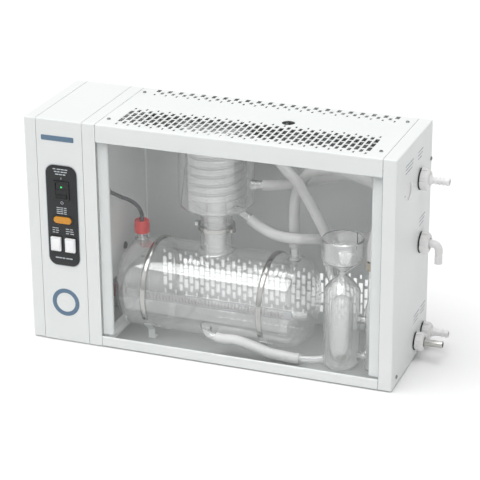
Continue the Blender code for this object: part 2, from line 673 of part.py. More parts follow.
def make_boiler():
    """The boiler: a lying glass cylinder with domed ends and four ports."""
    length = BOILER_RIGHT - BOILER_LEFT
    middle = ((BOILER_LEFT + BOILER_RIGHT) / 2, AXIS_Y, BOILER_Z)
    outer = dome_profile(BOILER_RADIUS, -length / 2, length / 2, BOILER_DOME)
    boiler = turned("boiler_vessel", outer, GLASS_CLEAR, middle, "X", segments=28)

    crown = BOILER_Z + BOILER_RADIUS
    neck = turned("neck_solid", [(0.0, NECK_RIM), (0.0290, NECK_RIM), (0.0290, NECK_RIM - 0.0036),
                                 (NECK_RADIUS, NECK_RIM - 0.0056), (NECK_RADIUS, crown + 0.0060),
                                 (NECK_RADIUS + 0.0020, crown + 0.0015), (NECK_RADIUS + 0.0060, crown - 0.0030),
                                 (NECK_RADIUS + 0.0060, crown - 0.020), (0.0, crown - 0.020)],
                  None, (CONDENSER_X, AXIS_Y, 0.0), collection=cutters)
    sensor = turned("sensor_solid", [(0.0, 0.1960), (0.0096, 0.1960), (0.0096, crown - 0.020),
                                     (0.0, crown - 0.020)],
                    None, (SENSOR_X, AXIS_Y, 0.0), segments=24, collection=cutters)
    vent = turned("vent_solid", [(0.0, VENT_RIM), (ARM_RADIUS, VENT_RIM), (ARM_RADIUS, 0.184),
                                 (0.0083, 0.180), (0.0087, 0.174), (0.0100, crown + 0.001),
                                 (0.0112, crown - 0.002), (0.0112, crown - 0.010), (0.0, crown - 0.010)],
                  None, (VENT_PORT_X, AXIS_Y, 0.0), segments=20, collection=cutters)
    feed_path = smooth_route(FEED_ARM, 0.006)
    feed = arm_cutter("feed_solid", feed_path, ARM_RADIUS)
    feed_root = rod("feed_root", *FEED_ROOT, 0.0125, None, cutters, end_radius=ARM_RADIUS)
    for tool in (neck, sensor, vent, feed_root):
        as_cutter(tool)
    for tool in (neck, sensor, vent, feed_root, feed):
        combine(boiler, tool, "UNION")

    inner = dome_profile(BOILER_RADIUS - GLASS, -length / 2 + GLASS, length / 2 - GLASS, BOILER_DOME - GLASS)
    hollow = turned("boiler_hollow", inner, None, middle, "X", segments=28, collection=cutters)
    as_cutter(hollow)
    combine(boiler, hollow, "DIFFERENCE")
    cut_rod(boiler, "neck_bore", (CONDENSER_X, AXIS_Y, crown - 0.030), (CONDENSER_X, AXIS_Y, NECK_RIM + 0.01),
            NECK_RADIUS - GLASS)
    cut_rod(boiler, "sensor_bore", (SENSOR_X, AXIS_Y, crown - 0.030), (SENSOR_X, AXIS_Y, 0.21), 0.0070)
    cut_rod(boiler, "vent_bore", (VENT_PORT_X, AXIS_Y, crown - 0.030), (VENT_PORT_X, AXIS_Y, 0.20), ARM_BORE)
    inward = feed_path[0] + (feed_path[0] - feed_path[1]).normalized() * 0.004
    outward = feed_path[-1] + (feed_path[-1] - feed_path[-2]).normalized() * 0.004
    combine(boiler, arm_cutter("feed_bore", [inward] + feed_path[1:-1] + [outward], ARM_BORE), "DIFFERENCE")
    cut_rod(boiler, "heater_bore", (BOILER_LEFT - 0.01, AXIS_Y, HEATER_Z),
            (BOILER_LEFT + 0.05, AXIS_Y, HEATER_Z), HEATER_RADIUS + GAP)


def make_boiler_fittings():
    """Heater, temperature sensor, holding straps and their brackets."""
    turned("quartz_heater", dome_profile(HEATER_RADIUS, HEATER_LEFT, HEATER_RIGHT, 0.008, steps=3), QUARTZ,
           (0.0, AXIS_Y, HEATER_Z), "X", segments=16)
    boot = [(0.0, HEATER_LEFT - GAP), (0.0100, HEATER_LEFT - GAP), (0.0110, HEATER_LEFT - 0.0015),
            (0.0110, HEATER_LEFT - 0.0150), (0.0060, HEATER_LEFT - 0.0190), (0.0060, HEATER_LEFT - 0.0230),
            (0.0, HEATER_LEFT - 0.0230)]
    turned("heater_boot", boot, CAP_RED, (0.0, AXIS_Y, HEATER_Z), "X", segments=16)
    for side, x in zip(("left", "right"), STRAP_X):
        make_strap("boiler_strap_" + side, x)
        make_bracket(f"bracket_front_{side}", x + 0.0015, -1)
        make_bracket(f"bracket_back_{side}", x + 0.0015, 1)
    cap = [(0.0042, 0.0), (0.0118, 0.0), (0.0130, -0.0014), (0.0130, -0.0225), (0.0102, -0.0225),
           (0.0102, -0.0042), (0.0042, -0.0042)]
    turned("sensor_cap", cap, CAP_RED, (SENSOR_X, AXIS_Y, 0.2010), segments=20, closed=True)
    rod("sensor_probe", (SENSOR_X, AXIS_Y, PROBE_END), (SENSOR_X, AXIS_Y, 0.2000), 0.0032, STAINLESS, segments=12)
    tube("sensor_cable", smooth_route(SENSOR_CABLE, 0.008), CABLE_RADIUS, CABLE_GREY)
    gland = [(0.0085, 0.0025), (0.0085, GAP), (0.0055, GAP), (0.0055, -SHEET - 0.0010),
             (0.0042, -SHEET - 0.0010), (0.0042, 0.0025)]
    turned("cable_gland", gland, RUBBER, (PARTITION, CABLE_HOLE_Y, CABLE_HOLE_Z), "X", segments=14, closed=True)


def make_strap(name, x):
    """A steel band over the boiler, from the front bracket to the back bracket."""
    inner = BOILER_RADIUS + 3 * GAP
    thickness = 0.0016
    width = 0.0095
    steps = 24
    swing = math.radians(122)
    mesh = bpy.data.meshes.new(name)
    shape = bmesh.new()
    rows = []
    for step in range(steps + 1):
        angle = -swing + 2 * swing * step / steps
        row = []
        for across, out in ((-1, 0.0), (-1, thickness), (1, thickness), (1, 0.0)):
            radius = inner + out
            row.append(shape.verts.new((across * width / 2, radius * math.sin(angle), radius * math.cos(angle))))
        rows.append(row)
    for first, second in zip(rows, rows[1:]):
        for edge in range(4):
            following = (edge + 1) % 4
            shape.faces.new((first[edge], first[following], second[following], second[edge]))
    shape.faces.new(rows[0])
    shape.faces.new(list(reversed(rows[-1])))
    bmesh.ops.recalc_face_normals(shape, faces=shape.faces)
    shape.to_mesh(mesh)
    shape.free()
    made = add_object(name, mesh, STAINLESS)
    made.location = (x, AXIS_Y, BOILER_Z)
    smooth(made)


def make_bracket(name, x, side):
    """A folded sheet bracket: a foot on the floor, an upright, and a cradle face under the boiler."""
    width = 0.0120
    upright = 0.0454
    knee = 0.0200
    reach = 0.0170
    mesh = bpy.data.meshes.new(name)
    shape = bmesh.new()
    path = [(side * (upright - 0.014), FLOOR_TOP + GAP), (side * upright, FLOOR_TOP + GAP),
            (side * upright, knee), (side * (upright + reach), knee + reach)]
    rows = [[shape.verts.new((end, AXIS_Y + y, z)) for end in (x - width / 2, x + width / 2)] for y, z in path]
    for first, second in zip(rows, rows[1:]):
        shape.faces.new((first[0], first[1], second[1], second[0]))
    shape.to_mesh(mesh)
    shape.free()
    made = add_object(name, mesh, INNER_STEEL)
    shell = made.modifiers.new("thickness", "SOLIDIFY")
    shell.thickness = 0.0012
    shell.offset = -1.0 if side < 0 else 1.0
    shell.use_even_offset = True


def make_condenser():
    """The condenser: jacket with three arms, vapour tube, cooling coil and the joint clamp."""
    radius = CONDENSER_RADIUS
    low = CONDENSER_BOTTOM
    profile = [(0.0, CONDENSER_TOP), (radius - 0.012, CONDENSER_TOP), (radius - 0.0035, CONDENSER_TOP - 0.0035),
               (radius, CONDENSER_TOP - 0.012), (radius, low + 0.0100), (radius - 0.0013, low + 0.0050),
               (radius - 0.0050, low + 0.0013), (radius - 0.0100, low), (NECK_RADIUS + 0.004, low - 0.0015),
               (NECK_RADIUS, low - 0.006), (NECK_RADIUS, NECK_RIM + 0.0060), (0.0290, NECK_RIM + 0.0040),
               (0.0290, NECK_RIM + GAP), (0.0, NECK_RIM + GAP)]
    jacket = turned("condenser_jacket", profile, GLASS_CLEAR, (CONDENSER_X, AXIS_Y, 0.0), segments=24)
    arms = (COOLING_IN_ARM, COOLING_OUT_ARM, DISTILLATE_ARM)
    for number, path in enumerate(arms):
        combine(jacket, arm_cutter(f"arm_solid_{number}", path, ARM_RADIUS), "UNION")
    inner = [(0.0, CONDENSER_TOP - GLASS), (radius - 0.014, CONDENSER_TOP - GLASS),
             (radius - GLASS, CONDENSER_TOP - 0.014), (radius - GLASS, low + 0.0100), (radius - 0.0039, low + 0.0065),
             (radius - 0.0065, low + 0.0039), (radius - 0.0100, low + GLASS), (0.0, low + GLASS)]
    hollow = turned("jacket_hollow", inner, None, (CONDENSER_X, AXIS_Y, 0.0), segments=24, collection=cutters)
    as_cutter(hollow)
    combine(jacket, hollow, "DIFFERENCE")
    cut_rod(jacket, "jacket_neck_bore", (CONDENSER_X, AXIS_Y, NECK_RIM - 0.01),
            (CONDENSER_X, AXIS_Y, low + 0.01), NECK_RADIUS - GLASS)
    for number, path in enumerate(arms):
        end = path[-1] + (path[-1] - path[-2]).normalized() * 0.004
        combine(jacket, arm_cutter(f"arm_bore_{number}", path[:-1] + [end], ARM_BORE), "DIFFERENCE")

    ring("vapour_tube", 0.0170, 0.0150, 0.1570, 0.2960, GLASS_CLEAR, (CONDENSER_X, AXIS_Y, 0.0), segments=20)
    turns = 7.75
    per_turn = 12
    pitch = 0.0155
    coil_radius = 0.0455
    coil = []
    for step in range(round(turns * per_turn) + 1):
        angle = 2 * math.pi * step / per_turn
        coil.append(Vector((CONDENSER_X + coil_radius * math.cos(angle), AXIS_Y + coil_radius * math.sin(angle),
                            0.2600 + pitch * step / per_turn)))
    tube("cooling_coil", coil, 0.0062, GLASS_CLEAR)

    clamp = ring("joint_clamp", 0.0316, 0.0297, -0.0044, 0.0044, STAINLESS, (CONDENSER_X, AXIS_Y, NECK_RIM),
                 segments=36)
    for number, turn in enumerate((-0.32, math.pi - 0.05)):
        ear = box(f"clamp_ear_{number}", (-0.0030, -0.0050, -0.0036), (0.0045, 0.0050, 0.0036), None,
                  collection=cutters)
        ear.location = (CONDENSER_X + 0.0335 * math.cos(turn), AXIS_Y + 0.0335 * math.sin(turn), NECK_RIM)
        ear.rotation_euler = (0.0, 0.0, turn)
        as_cutter(ear)
        combine(clamp, ear, "UNION")


def make_level_regulator():
    """The constant-level vessel with its funnel, its float and its standpipe, blown in one piece."""
    place = (VESSEL_X, VESSEL_Y, 0.0)
    low = FLOOR_TOP + 0.0008
    body = VESSEL_RADIUS
    outer = [(0.0, FUNNEL_RIM), (FUNNEL_RADIUS, FUNNEL_RIM), (FUNNEL_RADIUS, FUNNEL_RIM - 0.0350),
             (FUNNEL_RADIUS - 0.0030, FUNNEL_RIM - 0.0410), (0.0075, FUNNEL_RIM - 0.0590), (0.0070, 0.1700),
             (0.0150, 0.1620), (0.0235, 0.1545), (body - 0.0015, 0.1440), (body, 0.1360), (body, low + 0.0120),
             (body - 0.0030, low + 0.0045), (body - 0.0090, low + 0.0008), (0.0, low)]
    vessel = turned("level_vessel", outer, GLASS_CLEAR, place, segments=20)
    pipe = [(0.0, STANDPIPE_RIM), (0.0066, STANDPIPE_RIM), (0.0068, 0.1300), (0.0095, 0.1200), (0.0100, 0.1140),
            (0.0100, low + 0.0070), (0.0070, low + 0.0020), (0.0, low + 0.0008)]
    standpipe = turned("standpipe_solid", pipe, None, (STANDPIPE_X, VESSEL_Y, 0.0), segments=12, collection=cutters)
    as_cutter(standpipe)
    combine(vessel, standpipe, "UNION")
    bridges = [(Vector((VESSEL_X + 0.020, VESSEL_Y, z)), Vector((STANDPIPE_X, VESSEL_Y, z)))
               for z in (0.0950, 0.0290)]
    for number, path in enumerate(bridges):
        combine(vessel, arm_cutter(f"bridge_solid_{number}", path, 0.0062), "UNION")
    for number, path in enumerate((FEED_OUT_ARM, RETURN_ARM, OVERFLOW_STUB)):
        combine(vessel, arm_cutter(f"vessel_arm_solid_{number}", path, ARM_RADIUS), "UNION")

    wall = 0.0020
    hollow = [(0.0, FUNNEL_RIM + 0.01), (FUNNEL_RADIUS - wall, FUNNEL_RIM + 0.01),
              (FUNNEL_RADIUS - wall, FUNNEL_RIM - 0.0345), (FUNNEL_RADIUS - 0.0060, FUNNEL_RIM - 0.0395),
              (0.0048, FUNNEL_RIM - 0.0590), (0.0046, 0.1685), (0.0135, 0.1590), (0.0215, 0.1520),
              (body - 0.0040, 0.1430), (body - wall, 0.1350), (body - wall, low + 0.0125),
              (body - 0.0055, low + 0.0055), (body - 0.0110, low + wall + 0.0008), (0.0, low + wall)]
    inside = turned("vessel_hollow", hollow, None, place, segments=20, collection=cutters)
    bore = [(0.0, STANDPIPE_RIM + 0.01), (0.0048, STANDPIPE_RIM + 0.01), (0.0050, 0.1300), (0.0078, 0.1195), (0.0080, 0.1140),
            (0.0080, low + 0.0080), (0.0055, low + 0.0040), (0.0, low + 0.0030)]
    pipe_bore = turned("standpipe_bore", bore, None, (STANDPIPE_X, VESSEL_Y, 0.0), segments=12, collection=cutters)
    for tool in (inside, pipe_bore):
        as_cutter(tool)
        combine(vessel, tool, "DIFFERENCE")
    for number, path in enumerate(bridges):
        combine(vessel, arm_cutter(f"bridge_bore_{number}", path, 0.0042), "DIFFERENCE")
    for number, path in enumerate((FEED_OUT_ARM, RETURN_ARM, OVERFLOW_STUB)):
        end = path[-1] + (path[-1] - path[-2]).normalized() * 0.004
        combine(vessel, arm_cutter(f"vessel_arm_bore_{number}", path[:-1] + [end], ARM_BORE), "DIFFERENCE")

    turned("level_float", dome_profile(FLOAT_RADIUS, 0.0120, 0.1330, FLOAT_RADIUS), GLASS_CLEAR, place,
           segments=16)
    ring("standpipe_collar", 0.0094, 0.0083, 0.1860, 0.1990, TAN_COLLAR, (STANDPIPE_X, VESSEL_Y, 0.0),
         segments=16)


# ---------------------------------------------------------------- hoses
def beyond(arm, reach):
    """The end of a glass arm, or a point further along its last direction."""
    return tuple(arm[-1] + (arm[-1] - arm[-2]).normalized() * reach)


def end_gap(points, reach=0.0013):
    """Start and end a hose a little clear of what it meets."""
    first = points[0] + (points[1] - points[0]).normalized() * reach
    last = points[-1] + (points[-2] - points[-1]).normalized() * reach
    return [first] + points[1:-1] + [last]


def make_hoses():
    """The five silicone hoses, each along its whole route."""
    inlet_y, inlet_z = FITTINGS[0][1:3]
    outlet_y, outlet_z = FITTINGS[1][1:3]
    feed_arm = smooth_route(FEED_ARM, 0.006)
    routes = {
        "hose_cooling_in": [
            beyond(COOLING_IN_ARM, 0.0),
            beyond(COOLING_IN_ARM, 0.012),
            (LEFT + 0.4178, FRONT + 0.1130, 0.2931),
            (LEFT + 0.4353, FRONT + 0.1190, 0.2950),
            (LEFT + 0.4554, FRONT + 0.1250, 0.2990),
            (LEFT + 0.4910, FRONT + 0.1330, 0.3070),
            (LEFT + 0.5211, FRONT + 0.1370, 0.3145),
            (LEFT + 0.5650, FRONT + 0.1388, 0.3205),
            (LEFT + 0.6050, inlet_y, inlet_z),
            (HOSE_END, inlet_y, inlet_z),
        ],
        "hose_distillate": [
            beyond(DISTILLATE_ARM, 0.0),
            beyond(DISTILLATE_ARM, 0.010),
            (LEFT + 0.3830, FRONT + 0.0890, 0.2220),
            (LEFT + 0.4017, FRONT + 0.0835, 0.2165),
            (LEFT + 0.4203, FRONT + 0.0805, 0.2137),
            (LEFT + 0.4384, FRONT + 0.0790, 0.2133),
            (LEFT + 0.4550, FRONT + 0.0815, 0.2130),
            (LEFT + 0.4690, FRONT + 0.0925, 0.2107),
            (LEFT + 0.4850, FRONT + 0.1085, 0.2070),
            (LEFT + 0.5120, FRONT + 0.1280, 0.2062),
            (LEFT + 0.5537, FRONT + 0.1430, 0.2062),
            (LEFT + 0.6000, outlet_y, outlet_z),
            (HOSE_END, outlet_y, outlet_z),
        ],
        "hose_cooling_out": [
            beyond(COOLING_OUT_ARM, 0.0),
            beyond(COOLING_OUT_ARM, 0.012),
            (LEFT + 0.4115, FRONT + 0.0910, 0.3450),
            (LEFT + 0.4290, FRONT + 0.0865, 0.3285),
            (LEFT + 0.4482, FRONT + 0.0800, 0.3161),
            (LEFT + 0.4600, FRONT + 0.0780, 0.3008),
            (LEFT + 0.4705, FRONT + 0.0785, 0.2845),
            (LEFT + 0.4795, FRONT + 0.0800, 0.2675),
            (LEFT + 0.4879, FRONT + 0.0815, 0.2505),
            (LEFT + 0.4958, FRONT + 0.0850, 0.2326),
            (LEFT + 0.5006, FRONT + 0.0900, 0.2135),
            (LEFT + 0.5000, FRONT + 0.0950, 0.1960),
            beyond(RETURN_ARM, 0.012),
            beyond(RETURN_ARM, 0.0),
        ],
        "hose_vent": [
            (VENT_PORT_X, AXIS_Y, VENT_RIM),
            (VENT_PORT_X, AXIS_Y, 0.2050),
            (LEFT + 0.4380, AXIS_Y, 0.2275),
            (LEFT + 0.4383, AXIS_Y, 0.2455),
            (LEFT + 0.4391, AXIS_Y, 0.2630),
            (LEFT + 0.4408, AXIS_Y, 0.2775),
            (LEFT + 0.4441, AXIS_Y, 0.2920),
            (LEFT + 0.4505, AXIS_Y, 0.3073),
            (LEFT + 0.4580, AXIS_Y, 0.3175),
            (LEFT + 0.4640, AXIS_Y, 0.3234),
            (LEFT + 0.4750, AXIS_Y, 0.3292),
            (LEFT + 0.4904, AXIS_Y, 0.3330),
            (LEFT + 0.5073, AXIS_Y, 0.3335),
            (LEFT + 0.5275, FRONT + 0.0990, 0.3322),
            (LEFT + 0.5463, FRONT + 0.0955, 0.3294),
            (LEFT + 0.5660, FRONT + 0.0900, 0.3265),
            (LEFT + 0.5800, FRONT + 0.0855, 0.3225),
            (LEFT + 0.5905, FRONT + 0.0800, 0.3130),
            (LEFT + 0.5955, FRONT + 0.0740, 0.2970),
            (LEFT + 0.5943, FRONT + 0.0680, 0.2740),
            (LEFT + 0.5896, FRONT + 0.0630, 0.2500),
            (STANDPIPE_X, VESSEL_Y, 0.2250),
            (STANDPIPE_X, VESSEL_Y, STANDPIPE_RIM),
        ],
        "hose_boiler_feed": [
            beyond(FEED_OUT_ARM, 0.0),
            beyond(FEED_OUT_ARM, 0.010),
            (LEFT + 0.4362, FRONT + 0.0365, 0.0190),
            (LEFT + 0.4195, FRONT + 0.0340, 0.0217),
            (LEFT + 0.4058, FRONT + 0.0325, 0.0260),
            (LEFT + 0.3938, FRONT + 0.0315, 0.0297),
            (LEFT + 0.3764, FRONT + 0.0305, 0.0342),
            (LEFT + 0.3586, FRONT + 0.0302, 0.0372),
            beyond(feed_arm, 0.012),
            beyond(feed_arm, 0.0),
        ],
    }
    for name, points in routes.items():
        route = end_gap(smooth_route(points, 0.016))
        tube(name, route, HOSE_RADIUS, SILICONE)


# ---------------------------------------------------------------- side-panel fittings
def make_nut(name, y, z, radius):
    """A union nut with four grip lugs, free to turn on its nozzle."""
    shell = radius - 0.0016
    profile = [(shell - 0.0022, NUT_LENGTH), (shell, NUT_LENGTH - 0.0022), (shell, 0.0), (NUT_BORE, 0.0),
               (NUT_BORE, NUT_LENGTH)]
    nut = turned(name, profile, WHITE_PLASTIC, (NUT_START, y, z), "X", segments=18, closed=True)
    lug_length = NUT_LENGTH * 0.72
    for number in range(4):
        turn = math.pi / 2 * number + math.radians(8)
        lug = box(f"{name}_lug_{number}", (-lug_length / 2, -0.0042, -0.0012), (lug_length / 2, 0.0042, 0.0012),
                  None, collection=cutters)
        offset = Matrix.Rotation(turn, 3, "X") @ Vector((0.0, 0.0, radius - 0.0008))
        lug.location = (NUT_START + lug_length / 2, y + offset.y, z + offset.z)
        lug.rotation_euler = (turn, 0.0, 0.0)
        as_cutter(lug)
        combine(nut, lug, "UNION")


def nozzle_tail():
    """The part of a nozzle inside the panel, as (radius, height) points: a flange, then the hose tail."""
    start = HOSE_END + 2 * GAP - RIGHT
    return [(0.0094, 0.0018), (0.0094, -0.0030), (ARM_RADIUS, -0.0036), (ARM_RADIUS, start), (NOZZLE_BORE, start)]


def make_nozzles():
    """The four nozzles: a barbed one, an elbow, a plain white one and a steel one."""
    neck = 0.0086
    reach = {"inlet": NOZZLE_REACH, "overflow": 0.0460, "drain": 0.0480}
    for name, y, z, radius in FITTINGS:
        make_nut("union_nut_" + name, y, z, radius)
        if name == "distillate":
            continue
        tip = reach[name]
        pipe = 0.0060 if name == "drain" else 0.0067
        outer = [(pipe - 0.0008, tip), (pipe, tip - 0.0008)]
        if name == "inlet":
            for barb in range(4):
                end = tip - 0.0022 - 0.0062 * barb
                outer += [(pipe, end), (pipe - 0.0014, end - 0.0006), (pipe - 0.0014, end - 0.0022)]
            outer += [(pipe, tip - 0.0300), (neck, 0.0200)]
        else:
            outer += [(pipe, 0.0190), (neck if name == "overflow" else pipe, 0.0180)]
        outer += [(pipe if name == "drain" else neck, 0.0022)]
        look = STAINLESS if name == "drain" else WHITE_PLASTIC
        turned("nozzle_" + name, outer + nozzle_tail() + [(NOZZLE_BORE, tip)], look, (RIGHT, y, z), "X",
               segments=14, closed=True)
    make_elbow()


def make_elbow():
    """The distillate outlet: a socket in the panel, and an elbow spout that swivels in it."""
    y, z = FITTINGS[1][1:3]
    pipe = 0.0068
    bend = 0.0105
    straight = 0.0215
    path = [Vector((RIGHT + 0.0022, y, z)), Vector((RIGHT + straight, y, z))]
    for step in range(1, 7):
        angle = math.pi / 2 * step / 6
        path.append(Vector((RIGHT + straight + bend * math.sin(angle), y, z - bend + bend * math.cos(angle))))
    path.append(Vector((RIGHT + straight + bend, y, z - 0.0335)))
    curve = tube("nozzle_distillate", path, pipe, WHITE_PLASTIC, resolution=3)
    elbow = meshed(curve, parts)
    before = path[0] - Vector((0.004, 0.0, 0.0))
    after = path[-1] - Vector((0.0, 0.0, 0.004))
    combine(elbow, arm_cutter("elbow_bore", [before] + path[1:-1] + [after], NOZZLE_BORE), "DIFFERENCE")
    smooth(elbow)
    turned("distillate_socket", nozzle_tail() + [(NOZZLE_BORE, 0.0018)], WHITE_PLASTIC, (RIGHT, y, z), "X",
           segments=14, closed=True)


def make_port_blank():
    """The disc that blanks the spare port from inside."""
    face = RIGHT - SHEET - GAP
    rod("port_blank", (face - 0.0020, *SPARE_PORT), (face, *SPARE_PORT), 0.0180, WHITE_PLASTIC)


# ---------------------------------------------------------------- assembly
make_covers()
make_jambs_and_pane()
make_feet()
make_control_panel()
make_compartment()
make_boiler()
make_boiler_fittings()
make_condenser()
make_level_regulator()
make_hoses()
make_nozzles()
make_port_blank()
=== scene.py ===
"""Looks for the glass water still: fine meshes, materials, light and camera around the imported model.

Metres, +Z up, front towards -Y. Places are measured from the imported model's own boxes.
"""
import math

import bmesh
import bpy
from mathutils import Matrix, Vector


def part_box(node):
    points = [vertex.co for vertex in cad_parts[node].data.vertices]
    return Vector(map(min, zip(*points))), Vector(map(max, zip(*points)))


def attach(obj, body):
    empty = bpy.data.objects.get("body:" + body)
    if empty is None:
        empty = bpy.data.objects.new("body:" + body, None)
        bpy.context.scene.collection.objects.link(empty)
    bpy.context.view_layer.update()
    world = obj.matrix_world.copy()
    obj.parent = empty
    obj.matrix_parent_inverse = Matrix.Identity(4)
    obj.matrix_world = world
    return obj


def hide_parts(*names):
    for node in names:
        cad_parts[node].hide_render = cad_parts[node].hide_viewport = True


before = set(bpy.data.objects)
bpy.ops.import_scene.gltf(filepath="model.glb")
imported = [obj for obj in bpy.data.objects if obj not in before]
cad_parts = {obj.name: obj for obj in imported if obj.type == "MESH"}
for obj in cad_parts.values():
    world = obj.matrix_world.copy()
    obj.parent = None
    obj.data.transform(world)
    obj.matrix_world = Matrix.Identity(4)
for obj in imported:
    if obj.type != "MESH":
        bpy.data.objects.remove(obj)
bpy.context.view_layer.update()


# ================================================================ places and sizes
def middle(node):
    """The centre of a node's box."""
    low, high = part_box(node)
    return (low + high) / 2


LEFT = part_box("left_side_panel")[0].x
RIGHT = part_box("right_side_panel")[1].x
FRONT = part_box("control_cover")[0].y
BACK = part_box("control_cover")[1].y
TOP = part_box("top_cover")[1].z
HEADER_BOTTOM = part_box("top_cover")[0].z
BAY_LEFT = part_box("top_cover")[0].x
BAY_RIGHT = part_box("top_cover")[1].x
WALL_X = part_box("cable_gland")[0].x + 0.0025

BOILER_LOW, BOILER_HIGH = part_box("boiler_vessel")
BOILER_R = (BOILER_HIGH.y - BOILER_LOW.y) / 2
BOILER_X = (BOILER_LOW.x + BOILER_HIGH.x) / 2
AXIS_Y = (BOILER_HIGH.y + BOILER_LOW.y) / 2
BOILER_Z = BOILER_LOW.z + BOILER_R
NECK_RIM = BOILER_HIGH.z
NECK_R = 0.0270
CONDENSER_X = middle("vapour_tube").x
JACKET_LOW, JACKET_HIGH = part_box("condenser_jacket")
JACKET_R = CONDENSER_X - JACKET_LOW.x
JACKET_BOTTOM = 0.246
SENSOR_X = middle("sensor_probe").x
VENT_X = CONDENSER_X + 0.1382
VENT_RIM = 0.1900
VESSEL_X = middle("level_float").x
VESSEL_Y = middle("level_float").y
VESSEL_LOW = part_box("level_vessel")[0].z
FUNNEL_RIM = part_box("level_vessel")[1].z
STANDPIPE_X = middle("standpipe_collar").x
STANDPIPE_RIM = 0.2030
HEATER = middle("quartz_heater")
PANEL = middle("control_plate")
ROCKER_Z = 0.2775
FITTINGS = {name: middle("union_nut_" + name) for name in ("inlet", "distillate", "overflow", "drain")}
HOSE_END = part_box("nozzle_inlet")[0].x
CABLE_HOLE = (FRONT + 0.0470, 0.2670)
BOARD_BACK = FRONT + 0.0256

GLASS = 0.0024
ARM_R = 0.0072
ARM_BORE = ARM_R - 0.0014
HOSE_R = 0.0088
HOSE_BORE = 0.0073


def inside(x, y, z):
    """A point measured from the housing's left side, its front and its lower edge."""
    return LEFT + x, FRONT + y, z


# ================================================================ materials
def rgb(red, green, blue):
    """A linear colour from 0-255 display values."""
    values = []
    for value in (red, green, blue):
        value /= 255
        values.append(value / 12.92 if value <= 0.04045 else ((value + 0.055) / 1.055) ** 2.4)
    return (*values, 1.0)


def scaled(colour, share):
    """A colour made lighter or darker, at most white."""
    return (*(min(1.0, channel * share) for channel in colour[:3]), 1.0)


def set_inputs(tree, node, **values):
    """Fill a shader node's inputs. A socket becomes a link, anything else a value."""
    for label, value in values.items():
        socket = node.inputs[label.replace("_", " ")]
        if isinstance(value, bpy.types.NodeSocket):
            tree.links.new(value, socket)
        else:
            socket.default_value = value
    return node


def add_node(tree, kind, **values):
    """A new shader node with its inputs filled."""
    return set_inputs(tree, tree.nodes.new("ShaderNode" + kind), **values)


class Material:
    """A Principled material whose detail is added step by step with procedural nodes."""

    def __init__(self, name, colour, roughness, metallic=0.0, **sockets):
        self.material = bpy.data.materials.new(name)
        self.material.use_nodes = True
        self.tree = self.material.node_tree
        self.colour = rgb(*colour)
        self.roughness = roughness
        self.shader = set_inputs(self.tree, self.tree.nodes["Principled BSDF"], Base_Color=self.colour,
                                 Roughness=roughness, Metallic=metallic, **sockets)
        self.place = add_node(self.tree, "TexCoord").outputs["Object"]
        self.height = None

    def noise(self, scale, detail, stretch):
        """A noise pattern in metres; stretch makes it run along an axis."""
        mapping = add_node(self.tree, "Mapping", Scale=stretch, Vector=self.place)
        pattern = add_node(self.tree, "TexNoise", Scale=scale, Detail=detail,
                           Vector=mapping.outputs["Vector"])
        return pattern.outputs["Fac"]

    def spread(self, pattern, low, high):
        """The pattern's middle range spread between two values."""
        return add_node(self.tree, "MapRange", From_Min=0.3, From_Max=0.7, To_Min=low, To_Max=high,
                        Value=pattern).outputs["Result"]

    def blend(self, first, second, factor):
        """Make the base colour a mix of two."""
        mix = self.tree.nodes.new("ShaderNodeMix")
        mix.data_type = "RGBA"
        set_inputs(self.tree, mix, A=first, B=second, Factor=factor)
        self.tree.links.new(mix.outputs["Result"], self.shader.inputs["Base Color"])
        return self

    def tint(self, scale, amount, stretch=(1, 1, 1)):
        """Cloudy lighter and darker areas."""
        clouds = self.spread(self.noise(scale, 4.0, stretch), 0.0, 1.0)
        return self.blend(scaled(self.colour, 1 - amount), scaled(self.colour, 1 + amount), clouds)

    def wear(self, scale, amount, stretch=(1, 1, 1)):
        """Patches that are a little shinier or duller."""
        low = max(0.0, self.roughness - amount)
        patches = self.spread(self.noise(scale, 5.0, stretch), low, self.roughness + amount)
        self.tree.links.new(patches, self.shader.inputs["Roughness"])
        return self

    def grain(self, scale, depth, detail=2.0):
        """Fine relief, its depth in metres. Several grains add up."""
        relief = self.noise(scale, detail, (1, 1, 1))
        bump = add_node(self.tree, "Bump", Strength=1.0, Distance=depth, Height=relief)
        if self.height is not None:
            self.tree.links.new(self.height, bump.inputs["Normal"])
        self.height = bump.outputs["Normal"]
        self.tree.links.new(self.height, self.shader.inputs["Normal"])
        return self

    def painted_shade_above(self, low, high, share):
        """Painted shade: the colour falls to a share of itself between two heights, standing for an unlit
        corner.
        """
        split = add_node(self.tree, "SeparateXYZ", Vector=self.place)
        fall = add_node(self.tree, "MapRange", From_Min=low, From_Max=high, Value=split.outputs["Z"])
        base = self.shader.inputs["Base Color"].links[0].from_socket
        return self.blend(base, scaled(self.colour, share), fall.outputs["Result"])

    def lets_lamps_through(self, share):
        """Glass that passes light from the lamps to what is behind it."""
        path = add_node(self.tree, "LightPath")
        clear = add_node(self.tree, "BsdfTransparent", Color=(share, share, share, 1))
        mix = self.tree.nodes.new("ShaderNodeMixShader")
        for number, socket in enumerate((path.outputs["Is Shadow Ray"], self.shader.outputs["BSDF"],
                                         clear.outputs["BSDF"])):
            self.tree.links.new(socket, mix.inputs[number])
        self.tree.links.new(mix.outputs["Shader"], self.tree.nodes["Material Output"].inputs["Surface"])
        return self


